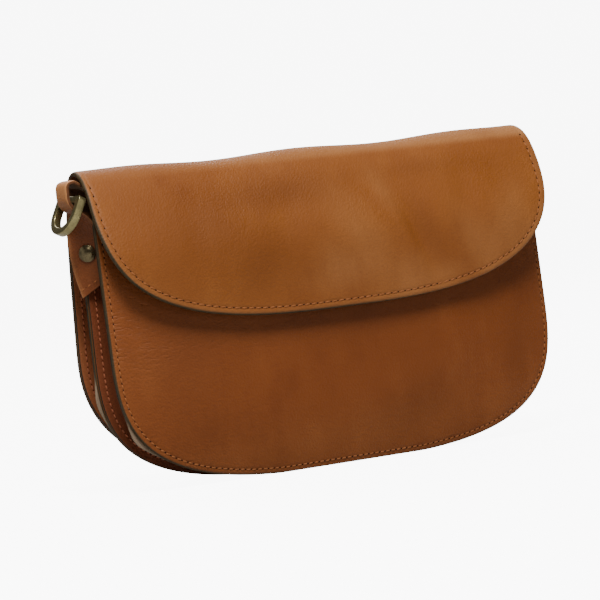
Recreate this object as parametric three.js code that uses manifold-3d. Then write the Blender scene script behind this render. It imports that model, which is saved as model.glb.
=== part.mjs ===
// A small flap-over shoulder bag in tan leather, standing on its base and closed.
// Two compartments lie between a front panel, a divider and a back panel. A channel-shaped
// gusset joins each pair of panels along the sides and the base. The back panel runs on over
// the top and comes down in front as the flap. At each end a riveted leather tab holds a
// D-ring for a shoulder strap.
// Millimetres, +Z up, the front faces -Y, and the bag stands on Z = 0. The origin is the middle
// of the divider's lower edge.
import * as THREE from "three";
import { mergeVertices } from "three/addons/utils/BufferGeometryUtils.js";
import Module from "manifold-3d";

const wasm = await Module();
wasm.setup();

// Driving sizes
const SEAM_GAP = 0.3; // air between sewn layers
const HALF_WIDTH = 140; // panels, from the middle to a side edge
const CORNER_HEIGHT = 79; // height where the straight sides turn into the lower corners
const SETTLE = 0.6; // depth of the base's bow that standing presses flat
const PANEL_LEAN = THREE.MathUtils.degToRad(2.8); // front panel from upright
const PANEL_FOOT = 26.4; // front panel's outer face from the divider, at the base

// Panels: corner is the exponent of the lower corners' superellipse, higher is squarer
const FRONT = { corner: 3.2, top: 150, thickness: 2.0, bulge: 10, rows: 10 };
const DIVIDER = { corner: 3.3, top: 146, thickness: 1.6, rows: 1 };
const BACK = { corner: 2.5, thickness: 2.6, bulge: 3, rows: 10 };
const FLAP = { halfWidth: 143.2, lip: 86.4, cornerHeight: 73.5, corner: 2.92, bulge: 3, rows: 10 };
const COLUMNS = 24; // panel strips across the width
const EDGE_FALL = 4; // power by which a swell falls to nothing at the side edges
const PILLOW = { skew: 0.8, span: 0.9 }; // front panel's swell: low-set peak, open towards the top
const FLAP_SWELL_LEAD = 0.1; // share of the profile above the shoulder where the flap's swell starts

// Outer face of back and flap seen from the end, from the base over the top to the flap's lip;
// right is how much further the viewer's right end reaches
const PROFILE = [
  { place: "foot", y: 24.2, z: 0, halfWidth: 140, right: 0 },
  { place: "back middle", y: 20.3, z: 80, halfWidth: 140, right: 0 },
  { place: "back high", y: 15.7, z: 140, halfWidth: 140, right: 0 },
  { place: "back shoulder", y: 11.8, z: 158, halfWidth: 140.3, right: 0 },
  { place: "back crown", y: 5.4, z: 171.6, halfWidth: 141, right: 0 },
  { place: "ridge", y: -3.6, z: 175.9, halfWidth: 141.7, right: 0.5 },
  { place: "front crown", y: -12.2, z: 173.2, halfWidth: 142.1, right: 1.1 },
  { place: "front shoulder", y: -19.2, z: 165.4, halfWidth: 142.6, right: 1.4 },
  { place: "flap high", y: -26.4, z: 150.2, halfWidth: 143.2, right: 1.1 },
  { place: "flap middle", y: -34.0, z: 127, halfWidth: 143.2, right: 0.3 },
  { place: "lip", y: -36.0, z: 86.4, halfWidth: 143.2, right: 0 },
];
const ARCH_ROWS = 16;
const RIDGE_SAG = 0.9; // the ridge sinks between its ends
const RIDGE_WAVE = { height: 1.0, length: 110, dip: -60 }; // shallow waves along the ridge
const CROWN = { from: 130, to: 170 }; // heights over which sag and waves set in

// Main soft dents of the flap's face: turn leans the long way from level, in degrees, and skew
// widens the side above it
const FLAP_DENTS = [
  { x: 51, z: 121, turn: -68, length: 25, width: 4.2, depth: 2.3, skew: 3.2 },
  { x: 92, z: 118, turn: -60, length: 22, width: 9, depth: 0.7, skew: 1 },
  { x: -30, z: 138, turn: 60, length: 24, width: 10, depth: 0.6, skew: 1 },
];

// Gusset section, from one panel to the next: inset is the depth from the panels' edge, and
// across is the share of the way over
const GUSSET = { thickness: 1.4, recess: 0.3, top: 146, sideSteps: 4, edgeSteps: 36 };
const GUSSET_SECTION = [
  { inset: 0, across: 0 },
  { inset: 4.5, across: 0 },
  { inset: 9, across: 0.02 },
  { inset: 12.6, across: 0.14 },
  { inset: 14.4, across: 0.36 },
  { inset: 14.4, across: 0.64 },
  { inset: 12.6, across: 0.86 },
  { inset: 9, across: 0.98 },
  { inset: 4.5, across: 1 },
  { inset: 0, across: 1 },
];

// Strap tab, from its hidden end inside, round the ring's bar, to its sewn end outside.
// out is the distance from the bag's middle, facing is how far the strip turns from the end
// towards the front, slant slews the cut end, and loop is how far the row follows the ring
const TAB = { thickness: 1.8, steps: 48, rivetRow: 13 };
const TAB_ROWS = [
  { out: 123.2, y: -9.2, z: 132, facing: 0, width: 12, slant: 0, loop: 0 },
  { out: 123.4, y: -9.2, z: 147, facing: 0, width: 12, slant: 0, loop: 0 },
  { out: 127.2, y: -8.0, z: 158.5, facing: 0, width: 12.5, slant: 0, loop: 0 },
  { out: 134.6, y: -6.4, z: 165.8, facing: 0, width: 12.8, slant: 0, loop: 0.7 },
  { out: 141.2, y: -5.4, z: 168.0, facing: 0, width: 12.6, slant: 0, loop: 1 },
  { out: 146.0, y: -5.6, z: 170.3, facing: 0, width: 13, slant: 0, loop: 1 },
  { out: 149.5, y: -5.8, z: 169.2, facing: 0, width: 13, slant: 0, loop: 1 },
  { out: 150.3, y: -5.8, z: 164.2, facing: 0, width: 13, slant: 0, loop: 1 },
  { out: 149.8, y: -5.8, z: 159.5, facing: 0, width: 13, slant: 0, loop: 1 },
  { out: 147.3, y: -5.8, z: 155.9, facing: 0, width: 13, slant: 0, loop: 1 },
  { out: 144.4, y: -5.8, z: 154.4, facing: 6, width: 13.4, slant: 0, loop: 0.7 },
  { out: 142.2, y: -5.6, z: 150.4, facing: 22, width: 15.6, slant: 0, loop: 0.25 },
  { out: 140.3, y: -5.2, z: 142.2, facing: 42, width: 18.8, slant: 0, loop: 0 },
  { out: 138.7, y: -5.2, z: 131.5, facing: 48, width: 20, slant: 0, loop: 0 },
  { out: 137.8, y: -5.5, z: 124, facing: 51, width: 20, slant: 0, loop: 0 },
  { out: 136.9, y: -5.9, z: 118, facing: 55, width: 19.4, slant: 0, loop: 0 },
  { out: 136.0, y: -6.2, z: 112.6, facing: 60, width: 18, slant: 3.5, loop: 0 },
];

// D-ring, hung on its straight bar; tilt tips its bow away from the bag
const RING = { width: 27, straight: 8, bow: 11.8, wire: 4.0, depth: 4.4, edge: 0.4 };
const RING_BAR = { out: 145.4, y: -5.8, z: 160.2 };
const ENDS = [
  { end: "left", side: -1, tilt: 27, inward: 0, down: 0, back: 0 },
  { end: "right", side: 1, tilt: 25, inward: 1.6, down: 3.4, back: 1.6 }, // tucked in behind the flap
];
const RIVET = {
  cap: 4.7, seat: 0.5, dome: 1.5, domeSteps: 4, rim: 0.5, shank: 1.8, length: 1.2, bore: 7.2, sides: 20,
};

// Exactness of the sums
const HALVINGS = 40; // steps of a search by halving
const SAME_POINT = 1e-4; // points closer than this are one

// Finishes; each piece gets a material of its own
const finish = (color, roughness, metalness) => () =>
  new THREE.MeshStandardMaterial({ color, roughness, metalness });
const tan = finish("#9c5c2b", 0.45, 0);
const darkTan = finish("#6f3a1d", 0.55, 0);
const agedBrass = finish("#857a4e", 0.38, 1);
const darkBrass = finish("#554c33", 0.42, 1);

const { lerp, degToRad, smoothstep } = THREE.MathUtils;
const signedPower = (value, power) => Math.sign(value) * Math.abs(value) ** power;
const fallToEdge = (share) => 1 - share ** EDGE_FALL;

// A point of a row of numbers at a fractional index
function between(rows, key, at) {
  const low = Math.min(Math.floor(at), rows.length - 2);
  return lerp(rows[low][key], rows[low + 1][key], at - low);
}

// Closed sheet from two grids of points, one for each face, joined round their rim
function sheet(faceGrid, otherGrid) {
  const rows = faceGrid.length;
  const columns = faceGrid[0].length;
  const points = [...faceGrid.flat(), ...otherGrid.flat()];
  const face = (i, j) => i * columns + j;
  const other = (i, j) => rows * columns + face(i, j);
  const index = [];
  const quad = (a, b, c, d) => index.push(a, b, c, a, c, d);
  for (let i = 0; i < rows - 1; i++) {
    for (let j = 0; j < columns - 1; j++) {
      quad(face(i, j), face(i, j + 1), face(i + 1, j + 1), face(i + 1, j));
      quad(other(i, j), other(i + 1, j), other(i + 1, j + 1), other(i, j + 1));
    }
    const last = columns - 1;
    quad(face(i, 0), face(i + 1, 0), other(i + 1, 0), other(i, 0));
    quad(face(i + 1, last), face(i, last), other(i, last), other(i + 1, last));
  }
  for (let j = 0; j < columns - 1; j++) {
    const last = rows - 1;
    quad(face(0, j + 1), face(0, j), other(0, j), other(0, j + 1));
    quad(face(last, j), face(last, j + 1), other(last, j + 1), other(last, j));
  }
  if (signedVolume(points, index) < 0) index.reverse();
  const geometry = new THREE.BufferGeometry().setFromPoints(points);
  geometry.setIndex(index);
  geometry.computeVertexNormals();
  return geometry;
}

function signedVolume(points, index) {
  const cross = new THREE.Vector3();
  let volume = 0;
  for (let k = 0; k < index.length; k += 3) {
    const [a, b, c] = [points[index[k]], points[index[k + 1]], points[index[k + 2]]];
    volume += a.dot(cross.crossVectors(b, c)) / 6;
  }
  return volume;
}

// A grid of points from a function of the share of the way up and the column
const grid = (rows, columns, at) =>
  Array.from({ length: rows + 1 }, (_, i) =>
    Array.from({ length: columns + 1 }, (_, j) => at(i / rows, j)));

// Superellipse for lower corners: turn runs from 0 at the left side to PI at the right
const cornerCurve = (turn, halfWidth, height, corner) => ({
  x: -halfWidth * signedPower(Math.cos(turn), 2 / corner),
  z: height * (1 - Math.abs(Math.sin(turn)) ** (2 / corner)),
});

// Lower edge of a panel, pressed flat where the bag stands
function lowerEdge(turn, corner) {
  const { x, z } = cornerCurve(turn, HALF_WIDTH, CORNER_HEIGHT, corner);
  return { x, z: Math.max(0, z - SETTLE) };
}

const columnTurn = (j) => (Math.PI * j) / COLUMNS;

// Front panel's outer face at its edge, and how far its middle swells past that
const frontFace = (z) => -(PANEL_FOOT - z * Math.tan(PANEL_LEAN));
const pillow = (x, up) =>
  fallToEdge(x / HALF_WIDTH) * Math.sin(Math.PI * PILLOW.span * up ** PILLOW.skew);

function panelGeometry({ corner, top, thickness, rows }, face) {
  const at = (shift) => (up, j) => {
    const foot = lowerEdge(columnTurn(j), corner);
    const z = lerp(foot.z, top, up);
    return new THREE.Vector3(foot.x, face(foot.x, z, up) + shift, z);
  };
  return sheet(grid(rows, COLUMNS, at(0)), grid(rows, COLUMNS, at(thickness)));
}

const frontPanel = () =>
  panelGeometry(FRONT, (x, z, up) => frontFace(z) - FRONT.bulge * pillow(x, up));

const divider = () => panelGeometry(DIVIDER, () => -DIVIDER.thickness / 2);

// Back and flap: one sheet that follows PROFILE in every column
const profileCurve = new THREE.CatmullRomCurve3(
  PROFILE.map(({ y, z }) => new THREE.Vector3(0, y, z)), false, "centripetal");
const rowShare = (place) => PROFILE.findIndex((row) => row.place === place) / (PROFILE.length - 1);
const BACK_HIGH = rowShare("back high");
const SHOULDER = rowShare("front shoulder");

// Share along the profile where it has a height, between two shares
function shareAtHeight(z, low, high) {
  const rising = profileCurve.getPoint(high).z > profileCurve.getPoint(low).z;
  for (let k = 0; k < HALVINGS; k++) {
    const middle = (low + high) / 2;
    if ((profileCurve.getPoint(middle).z < z) === rising) low = middle;
    else high = middle;
  }
  return low;
}

// Lower end of the flap in a column, which is rounded at both corners
const flapLip = (turn) =>
  FLAP.lip + cornerCurve(turn, FLAP.halfWidth, FLAP.cornerHeight, FLAP.corner).z;

// Height that the ridge gains or loses along its length
function ridgeWave(x) {
  const cycle = (2 * Math.PI * (x - RIDGE_WAVE.dip)) / RIDGE_WAVE.length;
  const sag = RIDGE_SAG * (1 - (x / FLAP.halfWidth) ** 2);
  return -sag - RIDGE_WAVE.height * Math.cos(cycle) * fallToEdge(x / FLAP.halfWidth);
}

// Depth of the flap's dents: bells that are longer one way, turned in the face
function flapDent(x, z) {
  let depth = 0;
  for (const dent of FLAP_DENTS) {
    const lean = THREE.MathUtils.degToRad(dent.turn);
    const along = (x - dent.x) * Math.cos(lean) + (z - dent.z) * Math.sin(lean);
    const over = (z - dent.z) * Math.cos(lean) - (x - dent.x) * Math.sin(lean);
    const width = over > 0 ? dent.width * dent.skew : dent.width;
    depth += dent.depth * Math.exp(-((along / dent.length) ** 2) - (over / width) ** 2);
  }
  return depth;
}

// Shares along the profile for each row of a column: back, arch and flap
function columnShares(turn) {
  const foot = shareAtHeight(lowerEdge(turn, BACK.corner).z, 0, BACK_HIGH);
  const lip = shareAtHeight(flapLip(turn), SHOULDER, 1);
  const shares = [];
  for (let i = 0; i < BACK.rows; i++) shares.push(lerp(foot, BACK_HIGH, i / BACK.rows));
  for (let i = 0; i < ARCH_ROWS; i++) shares.push(lerp(BACK_HIGH, SHOULDER, i / ARCH_ROWS));
  for (let i = 0; i <= FLAP.rows; i++) shares.push(lerp(SHOULDER, lip, i / FLAP.rows));
  return shares;
}

// Outer point of back and flap at a share of the profile, with its swell, dents and the ridge's wave
function hidePoint(share, turn) {
  const toFlap = smoothstep(share, BACK_HIGH / 2, SHOULDER);
  const backAcross = -signedPower(Math.cos(turn), 2 / BACK.corner);
  const flapAcross = -signedPower(Math.cos(turn), 2 / FLAP.corner);
  const across = lerp(backAcross, flapAcross, toFlap);
  const { y, z } = profileCurve.getPoint(share);
  const row = share * (PROFILE.length - 1);
  const reach = across > 0 ? between(PROFILE, "right", row) : 0;
  const x = across * (between(PROFILE, "halfWidth", row) + reach);
  const backSwell = BACK.bulge * Math.sin(Math.PI * Math.min(1, share / BACK_HIGH));
  const flapSwell = FLAP.bulge * smoothstep(share, SHOULDER - FLAP_SWELL_LEAD, 1);
  const swell = (backSwell - flapSwell) * fallToEdge(across);
  const onFlap = smoothstep(share, SHOULDER - FLAP_SWELL_LEAD, SHOULDER + FLAP_SWELL_LEAD);
  const crown = smoothstep(z, CROWN.from, CROWN.to);
  return new THREE.Vector3(x, y + swell + onFlap * flapDent(x, z), z + crown * ridgeWave(x));
}

function backAndFlap() {
  const outer = [];
  const inner = [];
  const turns = Array.from({ length: COLUMNS + 1 }, (_, j) => columnTurn(j));
  const columns = turns.map((turn) => columnShares(turn).map((share) => hidePoint(share, turn)));
  const rows = columns[0].length;
  for (let i = 0; i < rows; i++) {
    outer.push(columns.map((column) => column[i]));
    inner.push(columns.map((column) => {
      const along = column[Math.min(i + 1, rows - 1)].clone().sub(column[Math.max(i - 1, 0)]);
      const outward = new THREE.Vector3(0, along.z, -along.y).normalize();
      const point = column[i].clone().addScaledVector(outward, -BACK.thickness);
      if (i === 0) point.z = column[i].z;
      return point;
    }));
  }
  return sheet(outer, inner);
}

// Points of a panel's edge from the left top, round the base, to the right top
function edgePath(corner) {
  const points = [];
  const start = lowerEdge(0, corner).z;
  for (let i = 0; i < GUSSET.sideSteps; i++) {
    points.push({ x: -HALF_WIDTH, z: lerp(GUSSET.top, start, i / GUSSET.sideSteps) });
  }
  for (let i = 0; i <= GUSSET.edgeSteps; i++) {
    points.push(lowerEdge((Math.PI * i) / GUSSET.edgeSteps, corner));
  }
  for (let i = 1; i <= GUSSET.sideSteps; i++) {
    points.push({ x: HALF_WIDTH, z: lerp(start, GUSSET.top, i / GUSSET.sideSteps) });
  }
  return points.map((point, i) => {
    const before = points[Math.max(i - 1, 0)];
    const after = points[Math.min(i + 1, points.length - 1)];
    const along = new THREE.Vector2(after.x - before.x, after.z - before.z).normalize();
    return { ...point, inwardX: -along.y, inwardZ: along.x };
  });
}

// Gusset between two panels: each side has its edge's corner exponent and its face's Y
function gusset(from, to) {
  const fromPath = edgePath(from.corner);
  const toPath = edgePath(to.corner);
  const half = GUSSET.thickness / 2;
  const direction = Math.sign(to.face(0) - from.face(0));
  const clearance = direction * (SEAM_GAP + half);
  const outer = [];
  const inner = [];
  fromPath.forEach((a, i) => {
    const b = toPath[i];
    const middle = GUSSET_SECTION.map(({ inset, across }) => {
      const depth = GUSSET.recess + inset;
      return {
        depth,
        y: lerp(from.face(a.z) + clearance, to.face(b.z) - clearance, across),
        across,
      };
    });
    const place = (depth, y, across) => new THREE.Vector3(
      lerp(a.x + depth * a.inwardX, b.x + depth * b.inwardX, across), y,
      lerp(a.z + depth * a.inwardZ, b.z + depth * b.inwardZ, across));
    const offset = (k, side) => {
      const before = middle[Math.max(k - 1, 0)];
      const after = middle[Math.min(k + 1, middle.length - 1)];
      const along = new THREE.Vector2(after.depth - before.depth, after.y - before.y).normalize();
      const { depth, y, across } = middle[k];
      return place(depth - side * half * along.y, y + side * half * along.x, across);
    };
    outer.push(middle.map((_, k) => offset(k, direction)));
    inner.push(middle.map((_, k) => offset(k, -direction)));
  });
  return sheet(outer, inner);
}

// Inner face of the back panel at its edge
const backInnerFace = (z) =>
  profileCurve.getPoint(shareAtHeight(Math.min(z, GUSSET.top), 0, rowShare("back crown"))).y -
  BACK.thickness;

const frontGusset = () =>
  gusset({ corner: DIVIDER.corner, face: () => -DIVIDER.thickness / 2 },
    { corner: FRONT.corner, face: (z) => frontFace(z) + FRONT.thickness });

const backGusset = () =>
  gusset({ corner: DIVIDER.corner, face: () => DIVIDER.thickness / 2 },
    { corner: BACK.corner, face: backInnerFace });

// Place, outward normal and width direction of a tab at a fractional row
function tabFrame(end, at) {
  const { side } = end;
  const curve = tabCurve(end);
  const share = at / (TAB_ROWS.length - 1);
  const along = curve.getTangent(share);
  const facing = degToRad(between(TAB_ROWS, "facing", at));
  const across = new THREE.Vector3(-side * Math.sin(facing), -Math.cos(facing), 0);
  across.addScaledVector(along, -across.dot(along)).normalize();
  const outward = new THREE.Vector3().crossVectors(along, across).multiplyScalar(-side);
  return { place: curve.getPoint(share), along, across, outward };
}

const tabCurve = ({ side, inward, down, back }) => new THREE.CatmullRomCurve3(
  TAB_ROWS.map(({ out, y, z, loop }) =>
    new THREE.Vector3(side * (out - loop * inward), y + loop * back, z - loop * down)),
  false, "centripetal");

function tabStrip(end) {
  const faces = [1, -1].map((face) => grid(TAB.steps, 1, (up, j) => {
    const at = up * (TAB_ROWS.length - 1);
    const { place, along, across, outward } = tabFrame(end, at);
    const edge = j === 0 ? -1 : 1;
    return place.clone()
      .addScaledVector(across, (edge * between(TAB_ROWS, "width", at)) / 2)
      .addScaledVector(along, -edge * between(TAB_ROWS, "slant", at))
      .addScaledVector(outward, (face * TAB.thickness) / 2);
  }));
  return sheet(...faces);
}

// Frame that stands on the tab's outer face at the rivet, with Y along its axis
function rivetMatrix(end) {
  const { place, outward } = tabFrame(end, TAB.rivetRow);
  const turn = new THREE.Quaternion().setFromUnitVectors(new THREE.Vector3(0, 1, 0), outward);
  const seat = place.clone().addScaledVector(outward, TAB.thickness / 2);
  return new THREE.Matrix4().compose(seat, turn, new THREE.Vector3(1, 1, 1));
}

// Solid for cutting, from a closed geometry's positions
function solid(geometry) {
  const bare = geometry.clone();
  bare.deleteAttribute("normal");
  bare.deleteAttribute("uv");
  const merged = mergeVertices(bare, SAME_POINT);
  return new wasm.Manifold(new wasm.Mesh({
    numProp: 3,
    vertProperties: new Float32Array(merged.attributes.position.array),
    triVerts: new Uint32Array(merged.index.array),
  }));
}

function geometryOf(body) {
  const { vertProperties, triVerts } = body.getMesh();
  const geometry = new THREE.BufferGeometry();
  geometry.setAttribute("position", new THREE.BufferAttribute(new Float32Array(vertProperties), 3));
  geometry.setIndex(new THREE.BufferAttribute(new Uint32Array(triVerts), 1));
  geometry.computeVertexNormals();
  return geometry;
}

// Tab with the hole that its rivet's shank passes through
function tab(end) {
  const bore = new THREE.CylinderGeometry(
    RIVET.shank + SEAM_GAP, RIVET.shank + SEAM_GAP, RIVET.bore, RIVET.sides);
  bore.applyMatrix4(rivetMatrix(end));
  return geometryOf(solid(tabStrip(end)).subtract(solid(bore)));
}

// Rivet with a low domed cap and a shank that ends inside the tab's hole
function rivet(end) {
  const dome = Array.from({ length: RIVET.domeSteps + 1 }, (_, i) => {
    const turn = (Math.PI / 2) * (i / RIVET.domeSteps);
    const height = RIVET.seat + RIVET.rim + RIVET.dome * Math.sin(turn);
    return new THREE.Vector2(i === RIVET.domeSteps ? 0 : RIVET.cap * Math.cos(turn), height);
  });
  const geometry = new THREE.LatheGeometry([
    new THREE.Vector2(0, -RIVET.length),
    new THREE.Vector2(RIVET.shank, -RIVET.length),
    new THREE.Vector2(RIVET.shank, RIVET.seat),
    new THREE.Vector2(RIVET.cap, RIVET.seat),
    ...dome,
  ], RIVET.sides);
  return geometry.applyMatrix4(rivetMatrix(end));
}

// D outline: a straight bar above, straight arms and a half-ellipse bow below
function ringOutline(target, inset) {
  const half = RING.width / 2 - inset;
  const top = RING.wire / 2 - inset;
  target.moveTo(-half, top);
  target.lineTo(-half, -RING.straight);
  target.absellipse(0, -RING.straight, half, RING.bow - inset, Math.PI, 2 * Math.PI, false);
  target.lineTo(half, top);
  target.closePath();
  return target;
}

function ring() {
  const shape = ringOutline(new THREE.Shape(), RING.edge);
  shape.holes.push(ringOutline(new THREE.Path(), RING.wire - RING.edge));
  const geometry = new THREE.ExtrudeGeometry(shape, {
    depth: RING.depth - 2 * RING.edge,
    bevelThickness: RING.edge,
    bevelSize: RING.edge,
    bevelSegments: 1,
    curveSegments: 12,
  });
  return geometry.translate(0, 0, RING.edge - RING.depth / 2);
}

// Ring on its bar: its flat faces the bag's end, and its bow tips outwards
function hungRing({ end, side, tilt, inward, down, back }) {
  const mesh = piece(`${end}_ring`, ring(), agedBrass());
  mesh.rotation.set(Math.PI / 2, 0, 0);
  const swing = new THREE.Group();
  swing.rotation.z = Math.PI / 2;
  swing.add(mesh);
  const hung = new THREE.Group();
  hung.position.set(side * (RING_BAR.out - inward), RING_BAR.y + back, RING_BAR.z - down);
  hung.rotation.y = -side * degToRad(tilt);
  hung.add(swing);
  return hung;
}

function piece(name, geometry, material) {
  const mesh = new THREE.Mesh(geometry, material);
  mesh.name = name;
  return mesh;
}

const bag = new THREE.Group();
bag.add(piece("back_and_flap", backAndFlap(), tan()));
bag.add(piece("front_panel", frontPanel(), tan()));
bag.add(piece("divider", divider(), tan()));
bag.add(piece("front_gusset", frontGusset(), darkTan()));
bag.add(piece("back_gusset", backGusset(), darkTan()));
for (const end of ENDS) {
  bag.add(piece(`${end.end}_tab`, tab(end), tan()));
  bag.add(piece(`${end.end}_rivet`, rivet(end), darkBrass()));
  bag.add(hungRing(end));
}

export default bag;
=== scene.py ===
"""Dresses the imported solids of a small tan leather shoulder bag.

Each leather piece is rebuilt as a smooth sheet with a rounded, painted edge, pressed seams and sewn
stitches. Rings and rivets are rebuilt with softened edges. Shapes are worked out in millimetres as numpy
arrays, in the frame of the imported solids, and go into Blender in metres.
"""
from __future__ import annotations

import logging
from dataclasses import dataclass, field
from enum import IntEnum
from typing import Callable, Protocol, Union

import bpy
import numpy as np
from mathutils import Matrix


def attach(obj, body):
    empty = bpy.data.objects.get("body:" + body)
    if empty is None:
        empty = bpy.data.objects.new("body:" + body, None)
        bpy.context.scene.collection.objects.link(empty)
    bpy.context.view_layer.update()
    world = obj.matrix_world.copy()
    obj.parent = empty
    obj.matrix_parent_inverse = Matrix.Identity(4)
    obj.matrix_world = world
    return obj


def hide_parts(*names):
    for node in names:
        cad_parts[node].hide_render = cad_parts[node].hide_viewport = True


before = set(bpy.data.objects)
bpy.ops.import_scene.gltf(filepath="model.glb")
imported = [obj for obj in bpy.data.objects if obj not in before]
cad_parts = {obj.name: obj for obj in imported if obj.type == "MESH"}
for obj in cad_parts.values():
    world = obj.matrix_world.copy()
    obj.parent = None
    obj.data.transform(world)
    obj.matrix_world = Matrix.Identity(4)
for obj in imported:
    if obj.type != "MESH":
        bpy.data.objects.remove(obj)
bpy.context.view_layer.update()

Array = np.ndarray
Span = tuple[float, float]
Triple = tuple[float, float, float]
Colour = tuple[float, float, float]
Piece = bpy.types.Object
Material = bpy.types.Material
Sewing = tuple[bpy.types.Material, bpy.types.Material]
Socket = bpy.types.NodeSocket
Input = Union[Socket, Colour, float]

MM = 0.001
TINY = 1e-12
BAG = "bag"
log = logging.getLogger("bag")


# Small tools for curves and grids


def smoothstep(value: Array, low: float, high: float) -> Array:
    """Rise smoothly from 0 at low to 1 at high: 3t^2 - 2t^3."""
    share = np.clip((value - low) / (high - low), 0.0, 1.0)
    return share * share * (3.0 - 2.0 * share)


def bump(value: Array, centre: float, spread: float) -> Array:
    """Bell curve exp(-((value - centre) / spread)^2)."""
    return np.exp(-(((value - centre) / spread) ** 2))


def unit(vectors: Array) -> Array:
    """Vectors of the last axis at length 1."""
    return vectors / np.maximum(np.linalg.norm(vectors, axis=-1, keepdims=True), TINY)


def spline(rows: Array, at: Array) -> Array:
    """Catmull-Rom curve: a cubic between each two rows, with knots spaced by the root of the chord.

    Args:
        rows: Points that the curve passes, one to a row.
        at: Fractional row numbers.

    Returns:
        Points of the curve, with the columns of rows on the last axis.
    """
    before = 2 * rows[:1] - rows[1:2]
    after = 2 * rows[-1:] - rows[-2:-1]
    padded = np.concatenate([before, rows, after])
    low = np.clip(np.floor(at).astype(int), 0, len(rows) - 2)
    share = (at - low)[..., None]
    p0, p1, p2, p3 = (padded[low + k] for k in range(4))
    chords = (p1 - p0, p2 - p1, p3 - p2)
    k0, k1, k2 = (np.sqrt(np.linalg.norm(chord, axis=-1, keepdims=True)) for chord in chords)
    start = ((p1 - p0) / k0 - (p2 - p0) / (k0 + k1) + (p2 - p1) / k1) * k1
    end = ((p2 - p1) / k1 - (p3 - p1) / (k1 + k2) + (p3 - p2) / k2) * k1
    square = -3 * p1 + 3 * p2 - 2 * start - end
    cube = 2 * p1 - 2 * p2 + start + end
    return p1 + share * (start + share * (square + share * cube))


def graded(length: float, fine: float, fine_to: float, coarse: float) -> Array:
    """Shares along a length that start with fine steps and widen.

    Args:
        length: Whole length.
        fine: Step at the start.
        fine_to: Length that the fine steps cover.
        coarse: Step over the rest.

    Returns:
        Shares from 0 to 1.
    """
    near = np.arange(0.0, fine_to, fine)
    far = np.linspace(fine_to, length, max(2, int(np.ceil((length - fine_to) / coarse)) + 1))
    return np.concatenate([near, far]) / length


def grid_quads(rows: int, columns: int, close_rows: bool = False, close_columns: bool = False) -> Array:
    """Quads of a grid of points numbered row by row.

    Args:
        rows: Number of rows.
        columns: Number of columns.
        close_rows: Whether the last row joins the first.
        close_columns: Whether the last column joins the first.

    Returns:
        Four point numbers to a row.
    """
    i = np.arange(rows if close_rows else rows - 1)[:, None]
    j = np.arange(columns if close_columns else columns - 1)[None, :]
    up = (i + 1) % rows
    on = (j + 1) % columns
    corners = [i * columns + j, i * columns + on, up * columns + on, up * columns + j]
    return np.stack(np.broadcast_arrays(*corners), -1).reshape(-1, 4)


def cap_quads(sides: int) -> Array:
    """Quads that close a ring of an even number of points: a fan from its first point."""
    step = 2 * np.arange(1, sides // 2)
    return np.stack([np.zeros_like(step), step - 1, step, step + 1], -1)


def tube_quads(rings: int, sides: int) -> Array:
    """Quads of a tube whose two ends are closed.

    Args:
        rings: Rings of points along the tube.
        sides: Points of a ring.

    Returns:
        Four point numbers to a row: the wall, then the first and the last cap.
    """
    wall = grid_quads(rings, sides, close_columns=True)
    cap = cap_quads(sides)
    return np.concatenate([wall, cap[:, ::-1], cap + (rings - 1) * sides])


# Meshes


class Side(IntEnum):
    """Faces of a leather sheet, in the order of its materials."""

    GRAIN = 0
    FLESH = 1
    EDGE = 2


@dataclass
class Shape:
    """Points and faces of a mesh in millimetres, with a material for each face and marks for each point."""

    points: Array
    quads: Array
    kinds: Array | None = None
    marks: dict[str, Array] = field(default_factory=dict)

    def outward(self) -> Shape:
        """Turn the faces of this closed shape outwards, judged by the sign of its volume.

        Returns:
            This shape.
        """
        a, b, c, d = (self.points[self.quads[:, k]] for k in range(4))
        volume = np.einsum("ij,ij->", a, np.cross(b, c)) + np.einsum("ij,ij->", a, np.cross(c, d))
        if volume < 0:
            self.quads = self.quads[:, ::-1].copy()
        return self

    def put(self, name: str, materials: list[Material]) -> Piece:
        """Make a smooth-shaded Blender object of this shape.

        Args:
            name: Object's name.
            materials: Materials that the face numbers count.

        Returns:
            The new object, at the origin.
        """
        mesh = bpy.data.meshes.new(name)
        mesh.vertices.add(len(self.points))
        mesh.vertices.foreach_set("co", (self.points * MM).astype(np.float32).ravel())
        mesh.loops.add(self.quads.size)
        mesh.loops.foreach_set("vertex_index", self.quads.astype(np.int32).ravel())
        mesh.polygons.add(len(self.quads))
        mesh.polygons.foreach_set("loop_start", np.arange(0, self.quads.size, 4, dtype=np.int32))
        if self.kinds is not None:
            mesh.polygons.foreach_set("material_index", self.kinds.astype(np.int32))
        for mark, values in self.marks.items():
            layer = mesh.attributes.new(mark, "FLOAT", "POINT")
            layer.data.foreach_set("value", values.astype(np.float32).ravel())
        for material in materials:
            mesh.materials.append(material)
        mesh.update(calc_edges=True)
        mesh.shade_smooth()
        mesh.validate()
        piece = bpy.data.objects.new(name, mesh)
        bpy.context.collection.objects.link(piece)
        return piece


RIM_ROWS = 5


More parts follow.
